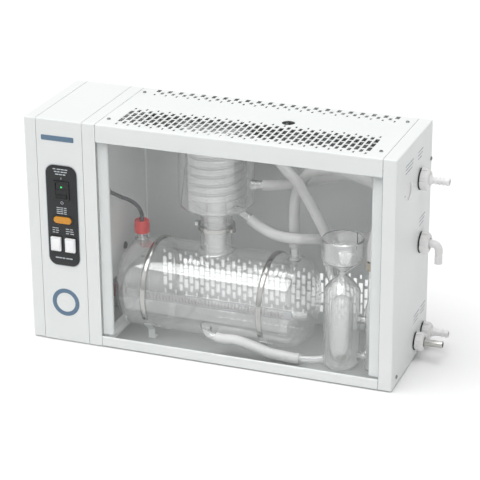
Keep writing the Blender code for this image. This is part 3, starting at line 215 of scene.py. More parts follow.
def make_materials():
    """Every material, by name."""
    made = {}

    def add(name, *details, **sockets):
        made[name] = Material(name, *details, **sockets)
        return made[name]

    add("powder_coat", (231, 234, 233), 0.42).tint(9, 0.012).wear(24, 0.05).grain(950, 0.00006)
    add("inner_coat", (226, 229, 228), 0.48).tint(7, 0.03).wear(20, 0.06).grain(950, 0.00006)
    # Painted light: a brighter copy of the inner coat, so the partition looks more lit than the walls around
    # it.
    add("partition_coat_painted_light", (250, 252, 251), 0.48).tint(7, 0.03).wear(20, 0.06).grain(950, 0.00006)
    # Painted shade: the rear wall is a slightly darker copy of the inner coat, and darker still above 0.30 m
    # for the shade under the roof.
    rear = add("rear_coat_painted_shade", (222, 225, 224), 0.48).tint(7, 0.03)
    rear.painted_shade_above(0.300, 0.350, 0.30).wear(20, 0.06).grain(950, 0.00006)
    # Painted shade: a darker grey laid over the compartment floor.
    add("floor_painted_shade_coat", (168, 171, 170), 0.45).tint(9, 0.03).wear(20, 0.06).grain(950, 0.00006)
    add("boot_red", (132, 44, 36), 0.55).tint(120, 0.06).wear(90, 0.07).grain(900, 0.00004)
    glass = add("glass", (254, 254, 254), 0.0, Transmission_Weight=0.95, IOR=1.47, Coat_Weight=1.0,
                Coat_Roughness=0.0, Coat_IOR=1.85, Sheen_Weight=0.24, Sheen_Roughness=0.30)
    glass.grain(30, 0.000015, 0.0).lets_lamps_through(0.95)
    pane = add("pane", (250, 251, 251), 0.0, Transmission_Weight=1.0, IOR=1.47)
    pane.grain(9, 0.00001, 0.0).lets_lamps_through(0.97)
    quartz = add("quartz", (225, 226, 227), 0.12, Transmission_Weight=1.0, IOR=1.47)
    quartz.grain(300, 0.00005).lets_lamps_through(0.8)
    silicone = add("silicone", (238, 238, 237), 0.38, Subsurface_Weight=0.20, Subsurface_Scale=0.003,
                   Subsurface_Radius=(1.0, 1.0, 1.0), Transmission_Weight=0.28, IOR=1.41)
    silicone.tint(40, 0.03).wear(90, 0.06).grain(500, 0.00004)
    add("steel", (188, 187, 184), 0.12, 1.0).tint(60, 0.05).wear(120, 0.06, (1, 1, 9)).grain(1400, 0.00002)
    add("zinc", (132, 134, 135), 0.30, 1.0).tint(90, 0.07).wear(160, 0.09).grain(900, 0.00003)
    add("white_plastic", (232, 231, 231), 0.36).tint(50, 0.015).wear(110, 0.06).grain(700, 0.00003)
    add("black_plastic", (30, 32, 34), 0.42).tint(60, 0.10).wear(80, 0.07).grain(2200, 0.00005)
    add("black_gloss", (22, 24, 26), 0.22).tint(70, 0.10).wear(130, 0.06).grain(600, 0.00001)
    add("key_white", (250, 251, 252), 0.3, Coat_Weight=0.2).tint(80, 0.01).wear(140, 0.05).grain(900, 0.00002)
    orange = add("key_orange", (212, 144, 34), 0.32, Coat_Weight=0.2)
    orange.tint(90, 0.03).wear(150, 0.05).grain(900, 0.00002)
    add("red_plastic", (228, 52, 52), 0.30).tint(120, 0.05).wear(160, 0.06).grain(800, 0.00003)
    add("rubber", (44, 46, 47), 0.7).tint(60, 0.10).wear(90, 0.08).grain(1200, 0.00006)
    add("cable", (84, 88, 90), 0.5).tint(150, 0.06).wear(200, 0.07).grain(900, 0.00004)
    add("tan_rubber", (176, 166, 146), 0.6).tint(200, 0.06).wear(200, 0.07).grain(1000, 0.00004)
    add("board", (30, 92, 58), 0.4).tint(300, 0.10).wear(300, 0.1).grain(700, 0.00003)
    add("print_grey", (64, 78, 98), 0.5).tint(900, 0.08).wear(700, 0.05)
    # Pale print; the same material also paints the highlight ring round the control plate.
    add("pale_print_and_painted_highlight", (196, 202, 206), 0.5).tint(900, 0.05).wear(700, 0.05)
    add("print_slate", (96, 122, 146), 0.45).tint(400, 0.05).wear(500, 0.05)
    lamp = add("lamp_green", (60, 214, 120), 0.25, Emission_Color=rgb(70, 235, 130), Emission_Strength=0.7)
    lamp.tint(500, 0.05)
    add("heater_wire", (120, 84, 66), 0.5, 1.0).tint(300, 0.1).wear(300, 0.1)
    return {name: item.material for name, item in made.items()}


MATERIALS = make_materials()


# ================================================================ modelling helpers
def mesh_object(name, shape):
    """A new object from a bmesh."""
    mesh = bpy.data.meshes.new(name)
    shape.to_mesh(mesh)
    shape.free()
    made = bpy.data.objects.new(name, mesh)
    bpy.context.scene.collection.objects.link(made)
    return made


def smooth(mesh, sharp):
    """Smooth shading, with hard edges above an angle in degrees."""
    mesh.shade_smooth()
    mesh.set_sharp_from_angle(angle=math.radians(sharp))


def piece(name, shape, material, body="housing", stands_for=(), sharp=32.0):
    """Turn a bmesh into a finished piece: material, shading, the body it rides on, what it replaces."""
    bmesh.ops.recalc_face_normals(shape, faces=shape.faces)
    made = mesh_object(name, shape)
    made.data.materials.append(MATERIALS[material])
    smooth(made.data, sharp)
    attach(made, body)
    if stands_for:
        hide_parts(*stands_for)
    return made


CUTTERS = []


def cutter(name, shape):
    """A tool for a Boolean, taken away at the end."""
    bmesh.ops.recalc_face_normals(shape, faces=shape.faces)
    CUTTERS.append(mesh_object(name, shape))
    return CUTTERS[-1]


def apply_booleans(target, added, cut, sharp=32.0):
    """Add tools and then cut with others, and keep the result as the target's own mesh."""
    for operation, tools in (("UNION", added), ("DIFFERENCE", cut)):
        for tool in tools:
            change = target.modifiers.new(tool.name, "BOOLEAN")
            change.operation = operation
            change.solver = "EXACT"
            change.object = tool
    graph = bpy.context.evaluated_depsgraph_get()
    mesh = bpy.data.meshes.new_from_object(target.evaluated_get(graph))
    target.modifiers.clear()
    old = target.data
    target.data = mesh
    bpy.data.meshes.remove(old)
    smooth(mesh, sharp)


def rounded(points, radius, steps=4):
    """A 2-D outline or path with its corners replaced by arcs; radius is one value or one for each corner."""
    path = [Vector(point) for point in points]
    radii = radius if isinstance(radius, (list, tuple)) else [radius] * len(path)
    out = [path[0]]
    for before, corner, after, size in zip(path, path[1:], path[2:], radii[1:]):
        if size <= 0:
            out.append(corner)
            continue
        back = (before - corner).normalized()
        ahead = (after - corner).normalized()
        half = back.angle(ahead) / 2
        if half > math.radians(88):
            out.append(corner)
            continue
        reach = min(size / math.tan(half), 0.49 * (before - corner).length, 0.49 * (after - corner).length)
        size = reach * math.tan(half)
        centre = corner + (back + ahead).normalized() * (size / math.sin(half))
        start = corner + back * reach - centre
        turn = start.angle_signed(corner + ahead * reach - centre)
        for step in range(steps + 1):
            out.append(centre + Matrix.Rotation(-turn * step / steps, 2) @ start)
    out.append(path[-1])
    return out


def join_rings(shape, rings, closed=False):
    """Faces between neighbouring rings; a ring of one vertex makes a fan."""
    pairs = list(zip(rings, rings[1:]))
    if closed:
        pairs.append((rings[-1], rings[0]))
    for first, second in pairs:
        count = max(len(first), len(second))
        for step in range(count):
            following = (step + 1) % count
            if len(first) == 1:
                shape.faces.new((first[0], second[following], second[step]))
            elif len(second) == 1:
                shape.faces.new((first[step], first[following], second[0]))
            else:
                shape.faces.new((first[step], first[following], second[following], second[step]))


def join_and_cap(shape, rings):
    """Faces between neighbouring rings, with the first and last ring filled."""
    join_rings(shape, rings)
    shape.faces.new(rings[0][::-1])
    shape.faces.new(rings[-1])


def lathe(profile, origin, along=(0, 0, 1), segments=64, closed=False):
    """(radius, height) points turned about an axis. Points on the axis close the shape."""
    shape = bmesh.new()
    turn = Vector(along).normalized().to_track_quat("Z", "Y").to_matrix().to_4x4()
    place = Matrix.Translation(Vector(origin)) @ turn
    rings = []
    for radius, height in profile:
        if radius < 1e-6:
            rings.append([shape.verts.new(place @ Vector((0, 0, height)))])
            continue
        turns = [2 * math.pi * step / segments for step in range(segments)]
        ring = [Vector((radius * math.cos(turn), radius * math.sin(turn), height)) for turn in turns]
        rings.append([shape.verts.new(place @ point) for point in ring])
    join_rings(shape, rings, closed)
    return shape


def turned_round(points, radii, steps, origin, segments, along=(0, 0, 1), closed=False):
    """A lathed shape whose profile has rounded corners."""
    return lathe(rounded(points, radii, steps), origin, along, segments, closed)


def smooth_path(points, spacing):
    """Evenly spaced points on a Catmull-Rom curve through a route's own points."""
    route = [Vector(point) for point in points]
    route = [route[0] * 2 - route[1]] + route + [route[-1] * 2 - route[-2]]
    dense = []
    for a, b, c, d in zip(route, route[1:], route[2:], route[3:]):
        for step in range(24):
            t = step / 24
            dense.append(0.5 * (2 * b + (c - a) * t + (2 * a - 5 * b + 4 * c - d) * t * t
                                + (3 * b - a - 3 * c + d) * t * t * t))
    dense.append(route[-2])
    length = sum((b - a).length for a, b in zip(dense, dense[1:]))
    count = max(2, round(length / spacing))
    even = [dense[0]]
    walked = 0.0
    for a, b in zip(dense, dense[1:]):
        walked += (b - a).length
        if walked >= length * len(even) / count - 1e-7 and len(even) < count:
            even.append(b)
    even.append(dense[-1])
    return even


def sweep(path, radii, segments=24, bore=None):
    """A round tube along a path, its radius one value or one for each point. A bore makes it hollow."""
    shape = bmesh.new()
    path = [Vector(point) for point in path]
    tangents = []
    for number in range(len(path)):
        before = path[max(0, number - 1)]
        after = path[min(len(path) - 1, number + 1)]
        tangents.append((after - before).normalized())
    side = tangents[0].orthogonal().normalized()
    frames = []
    for number, tangent in enumerate(tangents):
        if number:
            side = tangents[number - 1].rotation_difference(tangent) @ side
        side = (side - tangent * side.dot(tangent)).normalized()
        frames.append((side, tangent.cross(side)))

    def skin(sizes):
        sizes = sizes if isinstance(sizes, list) else [sizes] * len(path)
        rings = []
        for point, (right, up), size in zip(path, frames, sizes):
            rings.append([shape.verts.new(point + (right * math.cos(turn) + up * math.sin(turn)) * size)
                          for turn in (2 * math.pi * step / segments for step in range(segments))])
        return rings

    outer = skin(radii)
    if bore is None:
        join_and_cap(shape, outer)
    else:
        join_rings(shape, outer + skin(bore)[::-1], closed=True)
    return shape


def soft_box(low, high, radius=0.0, segments=2, shape=None):
    """A box with rounded edges, on its own or added to a shape."""
    if shape is None:
        shape = bmesh.new()
    low = Vector(low)
    high = Vector(high)
    made = bmesh.ops.create_cube(shape, size=1.0)
    bmesh.ops.scale(shape, vec=high - low, verts=made["verts"])
    bmesh.ops.translate(shape, vec=(low + high) / 2, verts=made["verts"])
    if radius > 0:
        edges = list({edge for vert in made["verts"] for edge in vert.link_edges})
        bmesh.ops.bevel(shape, geom=edges, offset=radius, segments=segments, affect="EDGES", profile=0.5)
    return shape


def add_ribs(shape, ribs, origin, axis):
    """Add soft boxes to a shape, each given as (turn, box) and turned about an axis through an origin."""
    for turn, box in ribs:
        rib = soft_box(*box)
        place = Matrix.Translation(origin) @ Matrix.Rotation(turn, 4, axis)
        bmesh.ops.transform(rib, matrix=place, verts=rib.verts)
        mesh = bpy.data.meshes.new("rib")
        rib.to_mesh(mesh)
        rib.free()
        shape.from_mesh(mesh)
        bpy.data.meshes.remove(mesh)


def outline(width, height, corner, steps):
    """A rounded rectangle about the origin, counter-clockwise."""
    points = []
    for quarter, (sx, sy) in enumerate(((1, 1), (-1, 1), (-1, -1), (1, -1))):
        for step in range(steps + 1):
            turn = math.radians(90 * quarter + 90 * step / steps)
            points.append((sx * (width / 2 - corner) + corner * math.cos(turn),
                           sy * (height / 2 - corner) + corner * math.sin(turn)))
    return points


def front_plate(centre, size, corner, back, front, edge, hole=None, steps=8):
    """A rounded plate facing the front, with a soft front edge and maybe a hole.

    centre and size are (x, z); a hole is (width, height, corner) and may end in an offset along z.
    """
    shape = bmesh.new()

    def ring(x, z, width, height, round_corner, y):
        points = outline(width, height, round_corner, steps)
        return [shape.verts.new((x + across, y, z + up)) for across, up in points]

    loops = []
    for inset, y in ((0.0, back), (0.0, front + edge), (edge * 0.3, front + edge * 0.3), (edge, front)):
        loops.append(ring(*centre, size[0] - 2 * inset, size[1] - 2 * inset, max(0.0002, corner - inset), y))
    if hole is None:
        join_and_cap(shape, loops)
        return shape
    rise = hole[3] if len(hole) > 3 else 0.0
    loops += [ring(centre[0], centre[1] + rise, *hole[:3], y) for y in (front, back)]
    join_rings(shape, loops, closed=True)
    return shape


def screw(name, place, outward, radius=0.0032, material="zinc"):
    """A pan-head screw with a round socket."""
    socket = radius * 0.52
    head = rounded([(socket, 0.0006), (socket, 0.0019), (radius * 0.8, 0.0019), (radius, 0.0008),
                    (radius, 0.0), (radius * 0.4, 0.0)], [0, 0.0001, 0.0008, 0.0006, 0, 0], 3)
    piece(name, lathe([(0.0, 0.0006), *head, (0.0, 0.0)], place, outward, 24), material)


# ================================================================ housing
SLOT_COLUMNS = 22
SLOT_PITCH_X = 0.02015
SLOT_PITCH = 0.020
SLOT_FIRST = LEFT + 0.1604
SLOT_WIDTH = 0.0070
FULL_SLOT = (SLOT_WIDTH, 0.0172)
HALF_SLOT = (SLOT_WIDTH * 0.8, 0.0125)
SMALL_SLOT = (0.0034, 0.0074)


def slots(rows, shift=0):
    """Column X, offset across the band and size of each slot, column by column."""
    count = SLOT_COLUMNS - 1 if shift else SLOT_COLUMNS
    return [(SLOT_FIRST + SLOT_PITCH_X * (column + shift), across, size)
            for column in range(count) for across, size in rows]


def slot_band():
    """One staggered band of slots."""
    on_columns = [(row * SLOT_PITCH, FULL_SLOT) for row in (-1, 0, 1)]
    on_columns += [(row * SLOT_PITCH, SMALL_SLOT) for row in (-2, 2)]
    between = [(row * SLOT_PITCH, FULL_SLOT) for row in (-0.5, 0.5)]
    between += [(row * SLOT_PITCH, HALF_SLOT) for row in (-1.5, 1.5)]
    return slots(on_columns) + slots(between, 0.5)


def slot_tool(name, holes, place, upright=False):
    """One cutter with a box for each slot, through a level sheet or an upright one."""
    shape = bmesh.new()
    for x, across, (width, length) in holes:
        half = Vector((width / 2, 0.004, length / 2) if upright else (width / 2, length / 2, 0.004))
        centre = place(x, across)
        soft_box(centre - half, centre + half, shape=shape)
    return cutter(name, shape)


def bent_sheet(path, low, high, thickness):
    """A folded sheet: a (y, z) path of its outer face, thickened to its right, drawn out along X."""
    shape = bmesh.new()
    path = [Vector(point) for point in path]
    inner = []
    for number, point in enumerate(path):
        before = path[max(0, number - 1)]
        after = path[min(len(path) - 1, number + 1)]
        first = (point - before).normalized() if number else (after - point).normalized()
        second = (after - point).normalized() if number < len(path) - 1 else first
        normal = Vector((first.y, -first.x))
        bisector = (normal + Vector((second.y, -second.x))).normalized()
        inner.append(point + bisector * (thickness / max(0.3, bisector.dot(normal))))
    section = path + inner[::-1]
    rows = [[shape.verts.new((x, point.x, point.y)) for point in section] for x in (low, high)]
    join_rings(shape, rows)
    for row, flip in ((rows[0], False), (rows[1], True)):
        for number in range(len(path) - 1):
            quad = (row[number], row[number + 1], row[-2 - number], row[-1 - number])
            shape.faces.new(quad[::-1] if flip else quad)
    return shape


def make_roof_and_back():
    """The roof with its header and the back panel, with the whole slot pattern."""
    path = rounded([(BACK, TOP - 0.014), (BACK, TOP), (FRONT, TOP), (FRONT, HEADER_BOTTOM)], 0.0025, 6)
    sheet = bent_sheet(path[::-1], BAY_LEFT, BAY_RIGHT, 0.0009)
    roof = piece("roof", sheet, "powder_coat", stands_for=["top_cover"])
    rear_band = slots([(0.0, (SLOT_WIDTH, 0.0125))]) + slots([(-0.0105, (SLOT_WIDTH * 0.8, 0.0100))], 0.5)
    rear_band += slots([(-0.0200, SMALL_SLOT)])
    port = lathe([(0, 0.01), (0.011, 0.01), (0.011, -0.01), (0, -0.01)], inside(0.423, 0.1134, TOP))
    apply_booleans(roof, [], [
        slot_tool("roof_slots", slot_band(), lambda x, y: Vector((x, FRONT + 0.057 + y, TOP))),
        slot_tool("rear_slots", rear_band, lambda x, y: Vector((x, FRONT + 0.197 + y, TOP))),
        cutter("roof_port", port)])
    for side, x in (("left", 0.1398), ("right", 0.6042)):
        for number, y in enumerate((0.0324, 0.1814)):
            screw(f"roof_screw_{side}_{number}", inside(x, y, TOP), (0, 0, 1))

    low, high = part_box("back_panel")
    outer_face = high.y + 0.00025
    # The rear wall's inner face carries painted shade: a darker coat that darkens further along its top.
    back = piece("rear_wall", soft_box(low, high, 0.0003, 1), "rear_coat_painted_shade", stands_for=["back_panel"])
    wall_y = (low.y + high.y) / 2
    tool = slot_tool("wall_slots", slot_band(), lambda x, z: Vector((x, wall_y, 0.064 + z)), upright=True)
    apply_booleans(back, [], [tool])
    sheet = soft_box((low.x, high.y, low.z), (high.x, outer_face, high.z))
    skin = piece("rear_wall_coat", sheet, "powder_coat")
    apply_booleans(skin, [], [tool])
    for number, (x, z) in enumerate(((0.012, 0.02), (0.012, 0.36), (0.476, 0.02), (0.476, 0.36))):
        screw(f"rear_screw_{number}", (low.x + x, outer_face, z), (0, 1, 0))


CAD_FINISHES = {
    "powder_coat": ("left_side_panel", "right_side_panel", "control_cover", "post_cover", "floor_pan",
                    "left_jamb", "right_jamb"),
    # the partition gets the brighter copy of the inner coat: painted light
    "partition_coat_painted_light": ("partition_wall",),
    "inner_coat": ("bracket_front_left", "bracket_front_right", "bracket_back_left", "bracket_back_right"),
    "white_plastic": ("terminal_block", "port_blank", "distillate_socket"),
    "black_plastic": ("temperature_limiter", "mains_gland"),
    "board": ("control_board",),
    "steel": ("sensor_probe",),
    "boot_red": ("heater_boot",),
    "rubber": ("cable_gland",),
}


def coat_cad_nodes():
    """Materials for the CAD parts whose shape is already right."""
    for finish, nodes in CAD_FINISHES.items():
        for node in nodes:
            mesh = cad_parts[node].data
            mesh.materials.clear()
            mesh.materials.append(MATERIALS[finish])
            smooth(mesh, 35)


def make_pane():
    """The clear front pane, with polished edges."""
    pane = soft_box(*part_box("front_pane"), 0.0004, 1)
    piece("clear_front_pane", pane, "pane", "pane", ["front_pane"], sharp=10)


def make_feet():
    """Rubber pads with a soft edge and a centre dimple."""
    for node in ("foot_front_left", "foot_front_right", "foot_back_left", "foot_back_right"):
        low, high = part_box(node)
        centre = middle(node)
        radius = (high.x - low.x) / 2
        profile = [(0.0, high.z), (radius, high.z), (radius, low.z + 0.0006), (radius - 0.0006, low.z),
                   (0.0035, low.z), (0.0030, low.z + 0.0006), (0.0, low.z + 0.0006)]
        foot = lathe(profile, (centre.x, centre.y, 0.0), segments=40)
        piece("rubber_" + node, foot, "rubber", stands_for=[node])


def dash_row(name, lines, material, place):
    """Short printed dashes that stand for lettering: each line is (left, right, height, thickness)."""
    shape = bmesh.new()
    for left, right, height, thick in lines:
        count = max(1, round((right - left) / 0.0065))
        step = (right - left) / count
        low = height - thick / 2
        high = height + thick / 2
        for number in range(count):
            start = left + step * number
            end = start + step * (0.70 + 0.2 * ((number * 7 + len(shape.verts) // 8) % 3) / 2)
            rings = [[shape.verts.new(place(across, up, out)) for across, up in (
                (start, low), (end, low), (end, high), (start, high))] for out in (0.0, 0.00006)]
            join_and_cap(shape, rings)
    piece(name, shape, material)


# ================================================================ control panel
def flat_middle(low, high):
    """A box's centre as (x, z)."""
    return (low.x + high.x) / 2, (low.z + high.z) / 2


def flat_size(low, high, margin=0.0):
    """A box's width and height, each made larger by a margin."""
    return high.x - low.x + margin, high.z - low.z + margin


def make_control_panel():
    """The black plate, a pale ring of painted highlight round its edge, and the switches, keys and prints on
    it.
    """
    low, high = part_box("control_plate")
    face = low.y
    centre = (PANEL.x, PANEL.z)
    size = flat_size(low, high)
    sheet = front_plate(centre, size, 0.015, high.y, face, 0.0005, steps=12)
    plate = piece("panel_plate", sheet, "black_plastic", stands_for=["control_plate"])
    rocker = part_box("rocker_switch")
    rocker_hole = (rocker[1].x - rocker[0].x + 0.0008, 0.0278)
    tools = [cutter("plate_hole_rocker", front_plate((flat_middle(*rocker)[0], ROCKER_Z), rocker_hole, 0.0008,
                                                     face + 0.01, face - 0.01, 0.0001))]
    for node, corner in (("reset_button", 0.0062), ("left_button", 0.0012), ("right_button", 0.0012)):
        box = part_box(node)
        hole = front_plate(flat_middle(*box), flat_size(*box, 0.0008), corner, face + 0.01, face - 0.01,
                           0.0001)
        tools.append(cutter("plate_hole_" + node, hole))
    apply_booleans(plate, [], tools)

    low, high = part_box("rocker_bezel")
    centre = (PANEL.x, (low.z + high.z) / 2)
    bezel = front_plate(centre, flat_size(low, high), 0.0020, high.y, low.y, 0.0006,
                        (*rocker_hole, 0.0008, ROCKER_Z - centre[1]))
    piece("switch_bezel", bezel, "black_gloss", stands_for=["rocker_bezel"])
    make_rocker(rocker)
    make_keys(face)
    # Painted highlight: a pale ring round the plate stands for the light on its raised edge.
    rim = front_plate((PANEL.x, PANEL.z), (size[0] + 0.0032, size[1] + 0.0032), 0.0166, FRONT,
                      FRONT - 0.0002, 0.00006, (*size, 0.0150), 12)
    piece("plate_edge_highlight", rim, "pale_print_and_painted_highlight")
    make_panel_prints(face)


def make_keys(face):
    """The reset button in its surround, and two push buttons with collars and printed frames."""
    low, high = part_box("reset_button")
    reset_centre = (PANEL.x, (low.z + high.z) / 2)
    button = front_plate(reset_centre, flat_size(low, high), 0.0059, high.y, low.y, 0.0010, steps=12)
    piece("reset_key", button, "key_orange", "reset_key", ["reset_button"])
    for side in ("left", "right"):
        low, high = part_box(side + "_button")
        centre = flat_middle(low, high)
        key = front_plate(centre, flat_size(low, high), 0.0009, high.y, low.y, 0.0006)
        piece(f"push_{side}_key", key, "key_white", side + "_key", [side + "_button"])
        collar = front_plate(centre, flat_size(low, high, 0.0036), 0.0016, face, face - 0.0009, 0.0003,
                             (*flat_size(low, high, 0.0008), 0.0010))
        piece(f"{side}_key_collar", collar, "black_gloss")
        inset = front_plate(centre, flat_size(low, high, -0.0036), 0.0004, low.y, low.y - 0.0001, 0.00003,
                            (*flat_size(low, high, -0.0044), 0.0002))
        piece(f"{side}_key_inset", inset, "pale_print_and_painted_highlight", side + "_key")
    surround = front_plate(reset_centre, (0.0420, 0.0185), 0.0090, face, face - 0.0005, 0.0003,
                           (0.0340, 0.0136, 0.0066), 12)
    piece("reset_surround", surround, "black_gloss")


def make_panel_prints(face):
    """Dashes and switch marks on the plate, the ring badge and the name bar on the cover."""
    x = PANEL.x
    lines = [(x - 0.0143 + 0.002 * row, x + 0.0143 - 0.002 * row, 0.3145 - 0.0045 * row, 0.0017)
             for row in range(3)]
    lines += [(x - 0.0104, x + 0.0098, 0.2462 - 0.0034 * row, 0.0013) for row in range(4)]
    for row in range(3):
        lines.append((x - 0.0194, x - 0.0072, 0.2090 - 0.0040 * row, 0.0014))
        lines.append((x + 0.0050, x + 0.0204, 0.2090 - 0.0040 * row, 0.0014))
    lines.append((x - 0.0160, x + 0.0165, 0.1555, 0.0020))
    dash_row("panel_print", lines, "pale_print_and_painted_highlight", lambda across, up, out: (across, face - out, up))
    piece("on_mark", soft_box((x - 0.0005, face - 0.0001, 0.2970), (x + 0.0005, face, 0.3003)), "pale_print_and_painted_highlight")
    off_mark = [(0.0026, 0.0), (0.0026, 0.0001), (0.0019, 0.0001), (0.0019, 0.0)]
    piece("off_mark", lathe(off_mark, (x, face, 0.2553), (0, -1, 0), 32, True), "pale_print_and_painted_highlight")

    ring = [(0.0250, 0.0), (0.0250, 0.0004), (0.0175, 0.0004), (0.0175, 0.0)]
    badge = turned_round(ring, [0, 0.00025, 0.00025, 0], 3, inside(0.0635, 0.0, 0.0735), 72, (0, -1, 0), True)
    piece("ring_badge", badge, "print_slate")
    bar = front_plate((LEFT + 0.0602, 0.3675), (0.0590, 0.0090), 0.0018, FRONT, FRONT - 0.0004, 0.0002)
    piece("name_bar", bar, "print_slate")


def make_rocker(box):
    """The rocker key: two gently dished faces meeting in the middle, and an indicator lamp."""
    low, high = box
    corners = [(FRONT - 0.0022, 0.0130), (FRONT - 0.0030, 0.0), (FRONT - 0.0058, -0.0124)]
    dish = 0.0007
    steps = 8
    face = []
    for (start_y, start_z), (end_y, end_z) in zip(corners, corners[1:]):
        for step in range(steps):
            t = step / steps
            y = start_y + (end_y - start_y) * t + dish * math.sin(math.pi * t)
            face.append((y, ROCKER_Z + start_z + (end_z - start_z) * t))
    face += [(FRONT - 0.0058, ROCKER_Z - 0.0124), (FRONT + 0.0040, ROCKER_Z - 0.0110),
             (FRONT + 0.0060, ROCKER_Z), (FRONT + 0.0040, ROCKER_Z + 0.0110)]
    shape = bmesh.new()
    join_and_cap(shape, [[shape.verts.new((x, y, z)) for y, z in face] for x in (low.x, high.x)])
    edges = [edge for edge in shape.edges if edge.calc_face_angle(0) > math.radians(50)]
    bmesh.ops.bevel(shape, geom=edges, offset=0.0005, segments=2, affect="EDGES", profile=0.5)
    piece("rocker_key", shape, "black_gloss", "rocker", ["rocker_switch"])
    lamp = soft_box((PANEL.x - 0.0013, FRONT - 0.00285, ROCKER_Z + 0.0046),
                    (PANEL.x + 0.0013, FRONT - 0.0010, ROCKER_Z + 0.0071), 0.0004)
    piece("rocker_lamp", lamp, "lamp_green", "rocker")


# ================================================================ glassware
def port_rings(x, radius, tube, flare, top, rim=(), sink=0.0012, segments=48):
    """A closed upright tube on the lying boiler, with a soft flared foot and maybe a rim on top.

    radius is the boiler's, outside or inside; sink is how far the tube's root reaches into it.
    """
    shape = bmesh.new()
    centre = Vector((x, AXIS_Y, BOILER_Z))

    def ring(size, height):
        verts = []
        for step in range(segments):
            turn = 2 * math.pi * step / segments
            along = size * math.cos(turn)
            across = size * math.sin(turn)
            up = height
            if height is None or height < radius + flare:
                lift = -sink if height is None else height - radius
                up = math.sqrt(max(0.0, radius * radius - across * across)) + lift
            verts.append(shape.verts.new(centre + Vector((along, across, up))))
        return verts

    rings = [ring(size, height - BOILER_Z) for size, height in rim]
    rings.append(ring(tube, (rim[-1][1] if rim else top) - BOILER_Z))
    arc = 7
    for step in range(arc + 1):
        turn = math.radians(84) * step / arc
        rings.append(ring(tube + flare * (1 - math.cos(turn)), radius + flare * (1 - math.sin(turn))))
    rings.append(ring(tube + flare * 0.93, None))
    join_and_cap(shape, rings)
    return shape


def dome(radius, low, high, depth, steps=16):
    """A closed cylinder's profile with elliptical ends, top to bottom."""
    turns = [math.pi / 2 * step / steps for step in range(steps + 1)]
    points = [(radius * math.sin(turn), high - depth + depth * math.cos(turn)) for turn in turns]
    return points + [(radius * math.sin(turn), low + depth - depth * math.cos(turn)) for turn in turns[::-1]]


def flared_arm(path, radius, root, reach):
    """A solid glass arm along a path that widens where it leaves the vessel."""
    path = smooth_path(path, 0.0025)
    walked = 0.0
    radii = []
    for number, point in enumerate(path):
        if number:
            walked += (point - path[number - 1]).length
        radii.append(radius + (root - radius) * math.exp(-((walked / reach) ** 2)))
    return sweep(path, radii, 28)


def extended(points, back, ahead):
    """A route with its two ends moved outwards."""
    points = [Vector(point) for point in points]
    first = points[0] + (points[0] - points[1]).normalized() * back
    last = points[-1] + (points[-1] - points[-2]).normalized() * ahead
    return [first] + points[1:-1] + [last]


def arm_tools(name, arms, reach, thinner):
    """The solids and bores of a vessel's arms, each given as (route, root radius, length in its hose)."""
    solids = [cutter(name + "_arm", flared_arm(extended(points, 0.0, ahead), ARM_R, root, reach))
              for points, root, ahead in arms]
    bores = [cutter(name + "_bore",
                    flared_arm(extended(points, 0.004, 0.012), ARM_BORE, root - thinner, reach))
             for points, root, ahead in arms]
    return solids, bores


FEED_ARM = [
    inside(0.3060, 0.0420, 0.0610), inside(0.3066, 0.0340, 0.0520), inside(0.3092, 0.0308, 0.0440),
    inside(0.3150, 0.0302, 0.0387), inside(0.3250, 0.0302, 0.0374),
]
COOLING_IN_ARM = [
    (CONDENSER_X + JACKET_R - 0.008, AXIS_Y, 0.2895), (CONDENSER_X + JACKET_R + 0.0030, AXIS_Y, 0.2897),
    (LEFT + 0.3840, AXIS_Y + 0.0015, 0.2910),
]
COOLING_OUT_ARM = [
    (CONDENSER_X + JACKET_R - 0.008, AXIS_Y - 0.0010, 0.3672),
    (CONDENSER_X + JACKET_R + 0.0050, AXIS_Y - 0.0025, 0.3668), (LEFT + 0.3810, AXIS_Y - 0.0050, 0.3642),
]
DISTILLATE_ARM = [
    (CONDENSER_X + 0.0280, AXIS_Y, 0.2520), (CONDENSER_X + 0.0385, AXIS_Y, 0.2425),
    (CONDENSER_X + 0.0610, AXIS_Y - 0.0040, 0.2304),
]
FEED_OUT_ARM = [
    (VESSEL_X - 0.0240, VESSEL_Y - 0.0060, 0.0175), (VESSEL_X - 0.0340, VESSEL_Y - 0.0090, 0.0160),
    (VESSEL_X - 0.0500, VESSEL_Y - 0.0140, 0.0152), (VESSEL_X - 0.0680, VESSEL_Y - 0.0180, 0.0156),
]
RETURN_ARM = [
    (VESSEL_X - 0.0140, VESSEL_Y + 0.0130, 0.1380), (VESSEL_X - 0.0230, VESSEL_Y + 0.0215, 0.1465),
    (VESSEL_X - 0.0300, VESSEL_Y + 0.0280, 0.1570), (VESSEL_X - 0.0335, VESSEL_Y + 0.0320, 0.1690),
]
OVERFLOW_STUB = [
    (VESSEL_X + 0.0012, VESSEL_Y + 0.0200, 0.1070), (VESSEL_X + 0.0014, VESSEL_Y + 0.0400, 0.1070),
]


